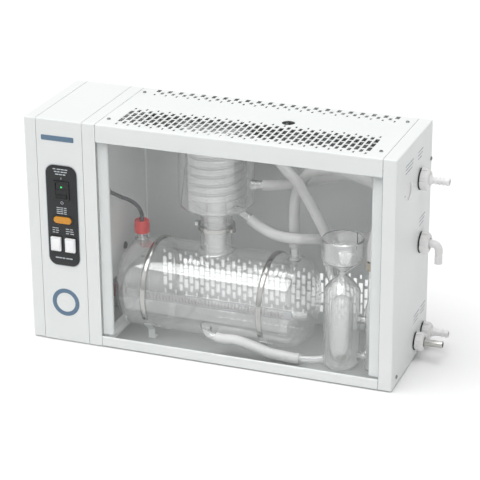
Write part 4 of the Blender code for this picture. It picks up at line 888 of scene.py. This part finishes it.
def make_boiler():
    """The boiler's glass: a lying vessel with domed ends, a wide neck, three ports and the feed arm."""
    centre = (BOILER_X, AXIS_Y, BOILER_Z)
    half = (BOILER_HIGH.x - BOILER_LOW.x) / 2
    end = 0.036
    segments = 128
    outer = lathe(dome(BOILER_R, -half, half, end), centre, (1, 0, 0), segments)
    glass = piece("boiler_glass", outer, "glass", stands_for=["boiler_vessel"])
    inner = dome(BOILER_R - GLASS, -half + GLASS, half - GLASS, end - GLASS)
    hollow = cutter("boiler_hollow", lathe(inner, centre, (1, 0, 0), segments))
    neck_rim = [(0.0250, NECK_RIM), (0.0284, NECK_RIM), (0.0290, NECK_RIM - 0.0010),
                (0.0288, NECK_RIM - 0.0036), (0.0274, NECK_RIM - 0.0060)]
    vent_rim = [(ARM_R, 0.2020), (ARM_R, VENT_RIM), (0.0081, VENT_RIM - 0.0030)]
    solids = [port_rings(CONDENSER_X, BOILER_R, NECK_R, 0.0070, NECK_RIM, neck_rim),
              port_rings(SENSOR_X, BOILER_R, 0.0096, 0.0040, 0.1960),
              port_rings(VENT_X, BOILER_R, 0.0083, 0.0050, 0.2020, vent_rim),
              flared_arm(extended(FEED_ARM, 0.0, 0.006), ARM_R, 0.0150, 0.013)]
    inside_r = BOILER_R - GLASS
    deep = 0.0040
    bores = [port_rings(CONDENSER_X, inside_r, NECK_R - GLASS, 0.0070, NECK_RIM + 0.004, sink=deep),
             port_rings(SENSOR_X, inside_r, 0.0075, 0.0040, 0.2000, sink=deep),
             port_rings(VENT_X, inside_r, ARM_BORE, 0.0050, 0.2060, sink=deep),
             flared_arm(extended(FEED_ARM, 0.006, 0.010), ARM_BORE, 0.0125, 0.014),
             lathe([(0, 0.05), (0.0083, 0.05), (0.0083, -0.02), (0, -0.02)], (BOILER_LOW.x, AXIS_Y, HEATER.z),
                   (1, 0, 0), 48)]
    apply_booleans(glass, [cutter("boiler_port", shape) for shape in solids],
                   [hollow] + [cutter("boiler_bore", shape) for shape in bores], 28)
    path = [(0.0124, -0.0012), (0.0124, 0.0030), (0.0084, 0.0030), (0.0084, -0.0012)]
    seal = turned_round(path, [0, 0.001, 0.001, 0], 3, (BOILER_LOW.x - 0.0002, AXIS_Y, HEATER.z), 48,
                        (-1, 0, 0), True)
    piece("heater_seal", seal, "rubber")


def make_heater():
    """A quartz sheath with a wound wire inside."""
    low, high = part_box("quartz_heater")
    half = (high.x - low.x) / 2
    centre = (HEATER.x, AXIS_Y, HEATER.z)
    tube = piece("quartz_sheath", lathe(dome(0.0080, -half, half, 0.008, 8), centre, (1, 0, 0), 40), "quartz",
                 stands_for=["quartz_heater"])
    inner = dome(0.0068, -half + 0.0014, half - 0.0014, 0.0066, 8)
    apply_booleans(tube, [], [cutter("quartz_hollow", lathe(inner, centre, (1, 0, 0), 40))])
    start = low.x + 0.035
    length = high.x - low.x - 0.055
    coil_r = 0.0048
    per_turn = 10
    steps = 44 * per_turn
    wire = []
    for step in range(steps + 1):
        turn = 2 * math.pi * step / per_turn
        wire.append((start + length * step / steps, AXIS_Y + coil_r * math.cos(turn),
                     HEATER.z + coil_r * math.sin(turn)))
    piece("heater_coil", sweep(wire, 0.0009, 8), "heater_wire")


def make_condenser():
    """Jacket, vapour tube, coil and joint clamp."""
    base = (CONDENSER_X, AXIS_Y, 0.0)
    radius = JACKET_R
    top = JACKET_HIGH.z
    bottom = JACKET_BOTTOM
    rim = JACKET_LOW.z
    path = [(0.0, top), (radius, top), (radius, bottom), (NECK_R, bottom - 0.002), (NECK_R, rim + 0.0060),
            (0.0290, rim + 0.0040), (0.0290, rim), (0.0, rim)]
    radii = [0, 0.013, 0.010, 0.007, 0.001, 0.0008, 0.0006, 0]
    jacket = piece("jacket_glass", turned_round(path, radii, 10, base, 128), "glass",
                   stands_for=["condenser_jacket"])
    path = [(0.0, top - GLASS), (radius - GLASS, top - GLASS), (radius - GLASS, bottom + GLASS),
            (NECK_R - GLASS, bottom + GLASS - 0.002), (NECK_R - GLASS, rim - 0.004), (0.0, rim - 0.004)]
    hollow = cutter("jacket_hollow", turned_round(path, [0, 0.011, 0.0078, 0.009, 0, 0], 10, base, 128))
    solids, bores = arm_tools("jacket", [(COOLING_IN_ARM, 0.011, 0.008), (COOLING_OUT_ARM, 0.011, 0.008),
                                         (DISTILLATE_ARM, 0.009, 0.008)], 0.011, 0.0020)
    apply_booleans(jacket, solids, [hollow] + bores, 28)

    low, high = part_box("vapour_tube")
    path = [(0.0170, high.z), (0.0170, low.z), (0.0150, low.z), (0.0150, high.z)]
    piece("vapour_tube_glass", turned_round(path, [0, 0.0009, 0.0009, 0], 4, base, 72, closed=True), "glass",
          stands_for=["vapour_tube"])

    pitch = 0.0155
    coil_r = 0.0455
    coil_low = 0.2600
    per_turn = 40
    turns = 7.75
    route = []
    for step in range(round(turns * per_turn) + 1):
        turn = 2 * math.pi * step / per_turn
        route.append((CONDENSER_X + coil_r * math.cos(turn), AXIS_Y + coil_r * math.sin(turn),
                      coil_low + pitch * step / per_turn))
    tube = 0.0064
    piece("coil_glass", sweep(route, tube, 20, tube - 0.0013), "glass", stands_for=["cooling_coil"])

    band = [(0.0296, -0.0044), (0.0296, 0.0044), (0.0316, 0.0044), (0.0316, -0.0044)]
    profile = rounded(band + [band[0]], [0, 0.0005, 0.0007, 0.0007, 0], 3)[:-1]
    piece("clamp_band", lathe(profile, (CONDENSER_X, AXIS_Y, NECK_RIM), segments=72, closed=True), "steel",
          stands_for=["joint_clamp"])
    for name, turn in (("front", -0.32), ("back", math.pi - 0.05)):
        ear = soft_box((0.0, -0.0050, -0.0036), (0.0062, 0.0050, 0.0036), 0.0008)
        place = Matrix.Translation((CONDENSER_X, AXIS_Y, NECK_RIM)) @ Matrix.Rotation(turn, 4, "Z")
        bmesh.ops.transform(ear, matrix=place @ Matrix.Translation((0.0318, 0, 0)), verts=ear.verts)
        piece("clamp_ear_" + name, ear, "steel")


def make_level_vessel():
    """The level vessel with its funnel, standpipe and arms, all one blown piece."""
    base = (VESSEL_X, VESSEL_Y, 0.0)
    pipe_base = (STANDPIPE_X, VESSEL_Y, 0.0)
    body = 0.0305
    funnel = 0.0350
    low = VESSEL_LOW
    rim = FUNNEL_RIM
    wall = 0.0019
    path = [(0.0, rim - 0.001), (funnel - 0.0020, rim - 0.001), (funnel, rim - 0.0035),
            (funnel, rim - 0.0380), (0.0075, rim - 0.0600), (0.0072, 0.1700), (0.0200, 0.1575),
            (body, 0.1440), (body, low), (0.0, low)]
    radii = [0, 0.0008, 0.002, 0.010, 0.006, 0.005, 0.012, 0.012, 0.012, 0]
    vessel = piece("level_glass", turned_round(path, radii, 8, base, 96), "glass",
                   stands_for=["level_vessel"])
    path = [(0.0, rim + 0.01), (funnel - wall, rim + 0.01), (funnel - wall, rim - 0.0375),
            (0.0052, rim - 0.0590), (0.0050, 0.1690), (0.0190, 0.1555), (body - wall, 0.1430),
            (body - wall, low + wall + 0.0006), (0.0, low + wall + 0.0006)]
    radii = [0, 0, 0.009, 0.006, 0.006, 0.012, 0.010, 0.0105, 0]
    cuts = [cutter("level_hollow", turned_round(path, radii, 8, base, 96))]
    path = [(0.0, 0.2100), (0.0066, 0.2100), (0.0068, 0.1290), (0.0100, 0.1180), (0.0100, low + 0.0010),
            (0.0, low + 0.0010)]
    solids = [cutter("standpipe", turned_round(path, [0, 0.001, 0.008, 0.008, 0.007, 0], 6, pipe_base, 48))]
    path = [(0.0, 0.2150), (0.0052, 0.2150), (0.0054, 0.1290), (0.0084, 0.1180), (0.0084, low + 0.0028),
            (0.0, low + 0.0028)]
    bore = turned_round(path, [0, 0, 0.008, 0.008, 0.006, 0], 6, pipe_base, 48)
    cuts.append(cutter("standpipe_bore", bore))
    for z in (0.0950, 0.0290):
        start = Vector((VESSEL_X + 0.020, VESSEL_Y, z))
        end = Vector((STANDPIPE_X, VESSEL_Y, z))
        line = [start + (end - start) * t / 16 for t in range(17)]
        swell = [0.0030 * math.exp(-(((point - start).length - 0.0105) / 0.0035) ** 2) for point in line]
        solids.append(cutter("bridge", sweep(line, [0.0062 + more for more in swell], 28)))
        opening = sweep([start - Vector((0.002, 0, 0)), (start + end) / 2, end], 0.0046, 28)
        cuts.append(cutter("bridge_bore", opening))
    arms, bores = arm_tools("level", [(FEED_OUT_ARM, 0.0095, 0.008), (RETURN_ARM, 0.0090, 0.008),
                                      (OVERFLOW_STUB, 0.0090, 0.0)], 0.009, 0.0015)
    apply_booleans(vessel, solids + arms, cuts + bores, 28)


def make_float_and_collar():
    """The hollow float with its weight, and the tan collar on the standpipe."""
    base = (VESSEL_X, VESSEL_Y, 0.0)
    low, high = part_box("level_float")
    radius = (high.x - low.x) / 2
    wall = 0.0012
    floating = piece("float_glass", lathe(dome(radius, low.z, high.z, radius), base), "glass", "float",
                     ["level_float"])
    inner = lathe(dome(radius - wall, low.z + wall, high.z - wall, radius - wall), base)
    apply_booleans(floating, [], [cutter("float_hollow", inner)])
    path = [(0.0, low.z + 0.0120), (0.0085, low.z + 0.0120), (0.0085, low.z + 0.0050), (0.0, low.z + 0.0040)]
    piece("float_weight", turned_round(path, [0, 0.002, 0.003, 0], 5, base, 40), "steel", "float")
    low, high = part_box("standpipe_collar")
    radius = (high.x - low.x) / 2
    path = [(0.0083, high.z), (radius, high.z), (radius, low.z), (0.0083, low.z)]
    collar = turned_round(path, [0, 0.0008, 0.0008, 0], 3, (STANDPIPE_X, VESSEL_Y, 0.0), 48, closed=True)
    piece("collar_ring", collar, "tan_rubber", stands_for=["standpipe_collar"])


def make_straps():
    """Two crowned steel straps over the boiler, each with a screw at both ends."""
    inner = BOILER_R + 0.0009
    swing = math.radians(122)
    steps = 120
    for side in ("left", "right"):
        low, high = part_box("boiler_strap_" + side)
        x = middle("boiler_strap_" + side).x
        half = (high.x - low.x) / 2
        crown = [(half * across, 0.0006 + 0.0016 * math.sqrt(1 - 0.985 * across * across))
                 for across in (step / 8 - 1 for step in range(17))]
        section = [(-half, 0.0), *crown, (half, 0.0)]
        shape = bmesh.new()
        rows = []
        for step in range(steps + 1):
            turn = -swing + 2 * swing * step / steps
            rows.append([shape.verts.new((x + across, AXIS_Y + (inner + out) * math.sin(turn),
                                          BOILER_Z + (inner + out) * math.cos(turn)))
                         for across, out in section])
        join_and_cap(shape, rows)
        piece("strap_band_" + side, shape, "steel", stands_for=["boiler_strap_" + side])
        for name, way in (("front", -1), ("back", 1)):
            turn = math.radians(117) * way
            outward = Vector((0, math.sin(turn), math.cos(turn)))
            place = Vector((x, AXIS_Y, BOILER_Z)) + outward * (inner + 0.0017)
            screw(f"strap_screw_{side}_{name}", place, outward, 0.0030)


def make_cap_and_cable():
    """The ribbed red screw cap and the probe's cable."""
    low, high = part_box("sensor_cap")
    radius = (high.x - low.x) / 2
    base = (SENSOR_X, AXIS_Y, 0.0)
    path = [(0.0040, high.z - 0.0030), (0.0090, high.z - 0.0030), (0.0098, high.z), (radius - 0.0004, high.z),
            (radius - 0.0002, low.z + 0.0010), (radius - 0.0006, low.z), (0.0102, low.z),
            (0.0102, high.z - 0.0050), (0.0040, high.z - 0.0050)]
    shape = turned_round(path, [0, 0.0006, 0.0008, 0.0014, 0.0004, 0.0004, 0, 0, 0], 4, base, 96, closed=True)
    count = 24
    rib = ((radius - 0.0007, -0.0005, low.z + 0.0015), (radius, 0.0005, high.z - 0.0060), 0.0002, 1)
    add_ribs(shape, [(2 * math.pi * number / count, rib) for number in range(count)], base, "Z")
    piece("red_cap", shape, "red_plastic", "probe_cap", ["sensor_cap"])
    hole_y, hole_z = CABLE_HOLE
    route = smooth_path([
        (SENSOR_X, AXIS_Y, 0.2003), (SENSOR_X, AXIS_Y - 0.0005, 0.2110),
        (SENSOR_X - 0.0013, AXIS_Y - 0.0075, 0.2240), (SENSOR_X - 0.0050, AXIS_Y - 0.0170, 0.2358),
        (SENSOR_X - 0.0108, AXIS_Y - 0.0290, 0.2461), (SENSOR_X - 0.0170, AXIS_Y - 0.0400, 0.2536),
        (SENSOR_X - 0.0240, AXIS_Y - 0.0485, 0.2605), (WALL_X + 0.0080, hole_y + 0.0010, hole_z - 0.0020),
        (WALL_X + 0.0030, hole_y, hole_z), (WALL_X - 0.0080, hole_y, hole_z),
        (WALL_X - 0.0180, hole_y - 0.0030, hole_z - 0.0040),
        (WALL_X - 0.0290, hole_y - 0.0090, hole_z - 0.0100),
        (WALL_X - 0.0370, hole_y - 0.0150, hole_z - 0.0130),
        (WALL_X - 0.0380, BOARD_BACK + 0.0018, hole_z - 0.0135),
    ], 0.003)
    piece("probe_cable", sweep(route, 0.0033), "cable", stands_for=["sensor_cable"])


# ================================================================ hoses
def beyond(arm, reach):
    """The end of a glass arm, or a point further along its last direction."""
    return extended(arm, 0.0, reach)[-1]


HOSES = {
    "hose_cooling_in": [
        beyond(COOLING_IN_ARM, 0.0), beyond(COOLING_IN_ARM, 0.012), inside(0.4178, 0.1130, 0.2931),
        inside(0.4353, 0.1190, 0.2950), inside(0.4554, 0.1250, 0.2990), inside(0.4910, 0.1330, 0.3070),
        inside(0.5211, 0.1370, 0.3145), inside(0.5650, 0.1388, 0.3205),
        (LEFT + 0.6050, FITTINGS["inlet"].y, FITTINGS["inlet"].z),
        (HOSE_END, FITTINGS["inlet"].y, FITTINGS["inlet"].z),
    ],
    "hose_distillate": [
        beyond(DISTILLATE_ARM, 0.0), beyond(DISTILLATE_ARM, 0.010), inside(0.3830, 0.0890, 0.2220),
        inside(0.4017, 0.0835, 0.2165), inside(0.4203, 0.0805, 0.2137), inside(0.4384, 0.0790, 0.2133),
        inside(0.4550, 0.0815, 0.2130), inside(0.4690, 0.0925, 0.2107), inside(0.4850, 0.1085, 0.2070),
        inside(0.5120, 0.1280, 0.2062), inside(0.5537, 0.1430, 0.2062),
        (LEFT + 0.6000, FITTINGS["distillate"].y, FITTINGS["distillate"].z),
        (HOSE_END, FITTINGS["distillate"].y, FITTINGS["distillate"].z),
    ],
    "hose_cooling_out": [
        beyond(COOLING_OUT_ARM, 0.0), beyond(COOLING_OUT_ARM, 0.012), inside(0.4115, 0.0910, 0.3450),
        inside(0.4290, 0.0865, 0.3285), inside(0.4482, 0.0800, 0.3161), inside(0.4600, 0.0780, 0.3008),
        inside(0.4705, 0.0785, 0.2845), inside(0.4795, 0.0800, 0.2675), inside(0.4879, 0.0815, 0.2505),
        inside(0.4958, 0.0850, 0.2326), inside(0.5006, 0.0900, 0.2135), inside(0.5000, 0.0950, 0.1960),
        beyond(RETURN_ARM, 0.012), beyond(RETURN_ARM, 0.0),
    ],
    "hose_vent": [
        (VENT_X, AXIS_Y, VENT_RIM), (VENT_X, AXIS_Y, 0.2050), (LEFT + 0.4380, AXIS_Y, 0.2275),
        (LEFT + 0.4383, AXIS_Y, 0.2455), (LEFT + 0.4391, AXIS_Y, 0.2630), (LEFT + 0.4408, AXIS_Y, 0.2775),
        (LEFT + 0.4441, AXIS_Y, 0.2920), (LEFT + 0.4505, AXIS_Y, 0.3073), (LEFT + 0.4580, AXIS_Y, 0.3175),
        (LEFT + 0.4640, AXIS_Y, 0.3234), (LEFT + 0.4750, AXIS_Y, 0.3292), (LEFT + 0.4904, AXIS_Y, 0.3330),
        (LEFT + 0.5073, AXIS_Y, 0.3335), inside(0.5275, 0.0990, 0.3322), inside(0.5463, 0.0955, 0.3294),
        inside(0.5660, 0.0900, 0.3265), inside(0.5800, 0.0855, 0.3225), inside(0.5905, 0.0800, 0.3130),
        inside(0.5955, 0.0740, 0.2970), inside(0.5943, 0.0680, 0.2740), inside(0.5896, 0.0630, 0.2500),
        (STANDPIPE_X, VESSEL_Y, 0.2250), (STANDPIPE_X, VESSEL_Y, STANDPIPE_RIM),
    ],
    "hose_boiler_feed": [
        beyond(FEED_OUT_ARM, 0.0), beyond(FEED_OUT_ARM, 0.010), inside(0.4362, 0.0365, 0.0190),
        inside(0.4195, 0.0340, 0.0217), inside(0.4058, 0.0325, 0.0260), inside(0.3938, 0.0315, 0.0297),
        inside(0.3764, 0.0305, 0.0342), inside(0.3586, 0.0302, 0.0372), beyond(FEED_ARM, 0.012),
        beyond(FEED_ARM, 0.0),
    ],
}


def make_hoses():
    """Hollow silicone hoses, pushed over their arms."""
    for name, points in HOSES.items():
        hose = sweep(smooth_path(points, 0.0035), HOSE_R, 32, HOSE_BORE)
        piece("silicone_" + name, hose, "silicone", stands_for=[name])


# ================================================================ right side
def make_nuts():
    """Union nuts with ribs and four lugs, and the gaskets behind them."""
    bore = 0.0092
    count = 20
    for name, centre in FITTINGS.items():
        low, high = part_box("union_nut_" + name)
        radius = (high.z - low.z) / 2 - 0.0004
        length = high.x - low.x
        skirt = radius - 0.0022
        base = (low.x, centre.y, centre.z)
        path = [(bore, 0.0), (skirt, 0.0), (skirt, length - 0.0026), (skirt - 0.0030, length), (bore, length)]
        nut = turned_round(path, [0, 0.0006, 0.0012, 0.0016, 0], 4, base, 72, (1, 0, 0), True)
        piece("nut_" + name, nut, "white_plastic", "nut_" + name, ["union_nut_" + name])
        ribs = []
        for number in range(count):
            lug = number % 5 == 0
            wide = 0.0036 if lug else 0.0010
            end = (length * (0.76 if lug else 0.72), wide, radius if lug else skirt + 0.0007)
            turn = 2 * math.pi * number / count + math.radians(8)
            ribs.append((turn, ((0.0004, -wide, skirt - 0.0012), end, 0.0005)))
        grip = bmesh.new()
        add_ribs(grip, ribs, base, "X")
        piece(f"nut_{name}_ribs", grip, "white_plastic", "nut_" + name)
        gap = low.x - RIGHT - 0.0003
        path = [(0.0100, 0.0002), (skirt + 0.0008, 0.0002), (skirt + 0.0008, gap), (0.0100, gap)]
        gasket = turned_round(path, [0, 0.0006, 0.0006, 0], 3, (RIGHT, centre.y, centre.z), 60,
                              (1, 0, 0), True)
        piece("gasket_" + name, gasket, "rubber")


def make_straight_nozzles():
    """The barbed inlet, the white overflow and the steel drain nozzle."""
    bore = 0.0045
    for name, body, neck, barbs, material in (("inlet", 0.0067, 0.0086, 4, "white_plastic"),
                                              ("overflow", 0.0066, 0.0086, 2, "white_plastic"),
                                              ("drain", 0.0060, 0.0060, 0, "steel")):
        low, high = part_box("nozzle_" + name)
        root = low.x - RIGHT
        tip = high.x - RIGHT
        path = [(bore, tip), (body - 0.0008, tip)]
        radii = [0, 0.0004]
        for barb in range(barbs):
            end = tip - 0.0010 - 0.0064 * barb
            path += [(body, end - 0.0028), (body, end - 0.0036), (body - 0.0014, end - 0.0040),
                     (body - 0.0014, end - 0.0060)]
            radii += [0.0004, 0.0002, 0.0003, 0.0002]
        if not barbs:
            path.append((body, tip - 0.0010))
            radii.append(0.0004)
        path += [(body, 0.0200), (neck, 0.0186), (neck, 0.0022), (0.0094, 0.0018), (0.0094, -0.0030),
                 (ARM_R, -0.0036), (ARM_R, root), (bore, root)]
        radii += [0.0006, 0.0006, 0, 0, 0, 0, 0, 0]
        base = (RIGHT, FITTINGS[name].y, FITTINGS[name].z)
        piece("spout_" + name, turned_round(path, radii, 3, base, 56, (1, 0, 0), True), material,
              stands_for=["nozzle_" + name])


def make_elbow():
    """The distillate elbow with a barbed spout."""
    centre = FITTINGS["distillate"]
    low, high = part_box("nozzle_distillate")
    pipe = 0.0068
    bend = 0.0105
    straight = high.x - pipe - bend
    places = [(low.x, centre.z), (low.x + 0.008, centre.z), (straight, centre.z)]
    for step in range(1, 17):
        turn = math.pi / 2 * step / 16
        places.append((straight + bend * math.sin(turn), centre.z - bend + bend * math.cos(turn)))
    corner = len(places)
    end = places[-1][1]
    places += [(straight + bend, end - (end - low.z) * step / 24) for step in range(1, 25)]
    radii = [pipe - 0.0002] * (corner + 6)
    radii += [pipe - 0.0009 + 0.0009 * ((step % 6) / 5) for step in range(6, len(places) - corner)]
    spout = sweep([(x, centre.y, z) for x, z in places], radii, 48, 0.0044)
    piece("elbow_spout", spout, "white_plastic", "outlet_elbow", ["nozzle_distillate"])


def make_side_details():
    """Little screws and dashes on the right side panel."""
    for number, y in enumerate((0.0487, 0.0980)):
        screw(f"port_screw_{number}", (RIGHT, FRONT + y, 0.3235), (1, 0, 0), 0.0021, "inner_coat")
    for number, (y, z) in enumerate(((0.0257, 0.018), (0.201, 0.335))):
        screw(f"side_screw_{number}", (RIGHT, FRONT + y, z), (1, 0, 0), 0.0034)
    upper = (0.3717, 0.366, 0.360)
    central = (0.2507, 0.245, 0.2387)
    lower = (0.0825, 0.076, 0.070)
    lines = []
    for start, end, heights in ((0.050, 0.096, upper), (0.122, 0.151, upper), (0.141, 0.175, central),
                                (0.124, 0.158, lower), (0.166, 0.197, lower)):
        for number, height in enumerate(heights):
            lines.append((FRONT + start, FRONT + end - 0.004 * number, height, 0.0013))
    dash_row("side_print", lines, "print_grey", lambda across, up, out: (RIGHT + out, across, up))


# ================================================================ inside the compartment
def make_compartment_details():
    """The plug and the red heater leads beside the partition, a darker sheet of painted shade on the floor,
    and the roof upright.
    """
    plug = [(0.0, 0.0028), (0.0060, 0.0028), (0.0066, 0.0), (0.0, 0.0)]
    piece("wall_plug", turned_round(plug, [0, 0.0012, 0, 0], 4, (WALL_X + 0.0002, FRONT + 0.112, 0.144), 36,
                                    (1, 0, 0)), "rubber")
    boot_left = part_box("heater_boot")[0].x
    for number, offset in enumerate((-0.0025, 0.0025)):
        start = Vector((boot_left + 0.0010, AXIS_Y + offset, HEATER.z))
        bends = ((0.0, 0, 0.0), (-0.008, 1.5, 0.002), (-0.013, 4, 0.020), (-0.010, 5, 0.045),
                 (-0.006, 4, 0.080), (-0.004, 3, 0.109))
        route = smooth_path([start + Vector((x, offset * out, z)) for x, out, z in bends], 0.004)
        piece(f"heater_lead_{number}", sweep(route, 0.0016, 12), "red_plastic")
    # Painted shade: a thin darker sheet over the compartment floor, standing for the shade inside.
    floor_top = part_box("front_pane")[0].z - 0.0003
    back_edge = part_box("back_panel")[0].y - 0.0002
    skin = soft_box((WALL_X + 0.0120, FRONT + 0.0125, floor_top + 0.00005),
                    (BAY_RIGHT - 0.0005, back_edge, floor_top + 0.00025))
    piece("floor_painted_shade", skin, "floor_painted_shade_coat")
    upright = sweep([inside(0.4205, 0.1134, 0.3820), inside(0.4205, 0.1134, 0.3985)], 0.0012, 16)
    piece("roof_upright", upright, "zinc")


# ================================================================ light, floor, camera
def in_scene(name, data):
    """A new object in the scene."""
    made = bpy.data.objects.new(name, data)
    bpy.context.scene.collection.objects.link(made)
    return made


def make_floor():
    """A pale paper floor."""
    shape = bmesh.new()
    bmesh.ops.create_grid(shape, x_segments=2, y_segments=2, size=30.0)
    floor = mesh_object("studio_floor", shape)
    floor.data.materials.append(Material("paper", (246, 246, 246), 0.85).tint(2, 0.004).material)


def make_world():
    """An even pale sky. Reflections see it brighter, and brightest above."""
    world = bpy.data.worlds.new("studio")
    bpy.context.scene.world = world
    world.use_nodes = True
    tree = world.node_tree
    split = add_node(tree, "SeparateXYZ", Vector=add_node(tree, "TexCoord").outputs["Generated"])
    band = add_node(tree, "MapRange", From_Min=0.04, From_Max=0.42, To_Min=0.42, To_Max=1.05,
                    Value=split.outputs["Z"])
    strength = add_node(tree, "MapRange", To_Min=0.31, To_Max=band.outputs["Result"],
                        Value=add_node(tree, "LightPath").outputs["Is Glossy Ray"])
    set_inputs(tree, tree.nodes["Background"], Color=(1, 1, 1, 1), Strength=strength.outputs["Result"])


def make_lights():
    """A wide overhead light and two large softboxes."""
    sun = bpy.data.lights.new("overhead_light", "SUN")
    sun.energy = 2.66
    sun.angle = math.radians(64)
    overhead = in_scene("overhead_light", sun)
    overhead.rotation_euler = (-Vector((-0.10, -0.20, 1.0))).to_track_quat("-Z", "Y").to_euler()
    aim = Vector((0, 0, 0.2))
    for name, place, wide, high, power in (("front_softbox", (-1.4, -4.5, 1.6), 5.0, 3.4, 6.0),
                                           ("left_softbox", (-3.6, -1.2, 1.5), 2.0, 3.0, 10.0)):
        lamp = bpy.data.lights.new(name, "AREA")
        lamp.shape = "RECTANGLE"
        lamp.size = wide
        lamp.size_y = high
        lamp.energy = power
        made = in_scene(name, lamp)
        made.location = place
        made.rotation_euler = (aim - Vector(place)).to_track_quat("-Z", "Y").to_euler()


def make_camera():
    """The camera, and how light paths and colours are treated."""
    lens = bpy.data.cameras.new("camera")
    lens.lens = 144.4
    lens.sensor_width = 36.0
    camera = in_scene("camera", lens)
    camera.location = (1.0514, -2.7916, 1.4197)
    look = Vector((-0.3267, 0.8645, -0.3820)).to_track_quat("-Z", "Y")
    camera.rotation_mode = "QUATERNION"
    camera.rotation_quaternion = look @ Matrix.Rotation(math.radians(-0.365), 3, "Z").to_quaternion()
    scene = bpy.context.scene
    scene.camera = camera
    scene.view_settings.view_transform = "Standard"
    scene.view_settings.look = "None"
    scene.cycles.max_bounces = 24
    scene.cycles.transmission_bounces = 20
    scene.cycles.transparent_max_bounces = 32
    scene.cycles.diffuse_bounces = 8
    scene.cycles.glossy_bounces = 6


# ================================================================ everything
for make in (make_floor, make_world, make_lights, make_camera, coat_cad_nodes, make_roof_and_back,
             make_pane, make_feet, make_control_panel, make_boiler, make_heater, make_condenser,
             make_level_vessel, make_float_and_collar, make_straps, make_cap_and_cable, make_hoses,
             make_nuts, make_straight_nozzles, make_elbow, make_side_details, make_compartment_details):
    make()
for tool in CUTTERS:
    bpy.data.objects.remove(tool, do_unlink=True)
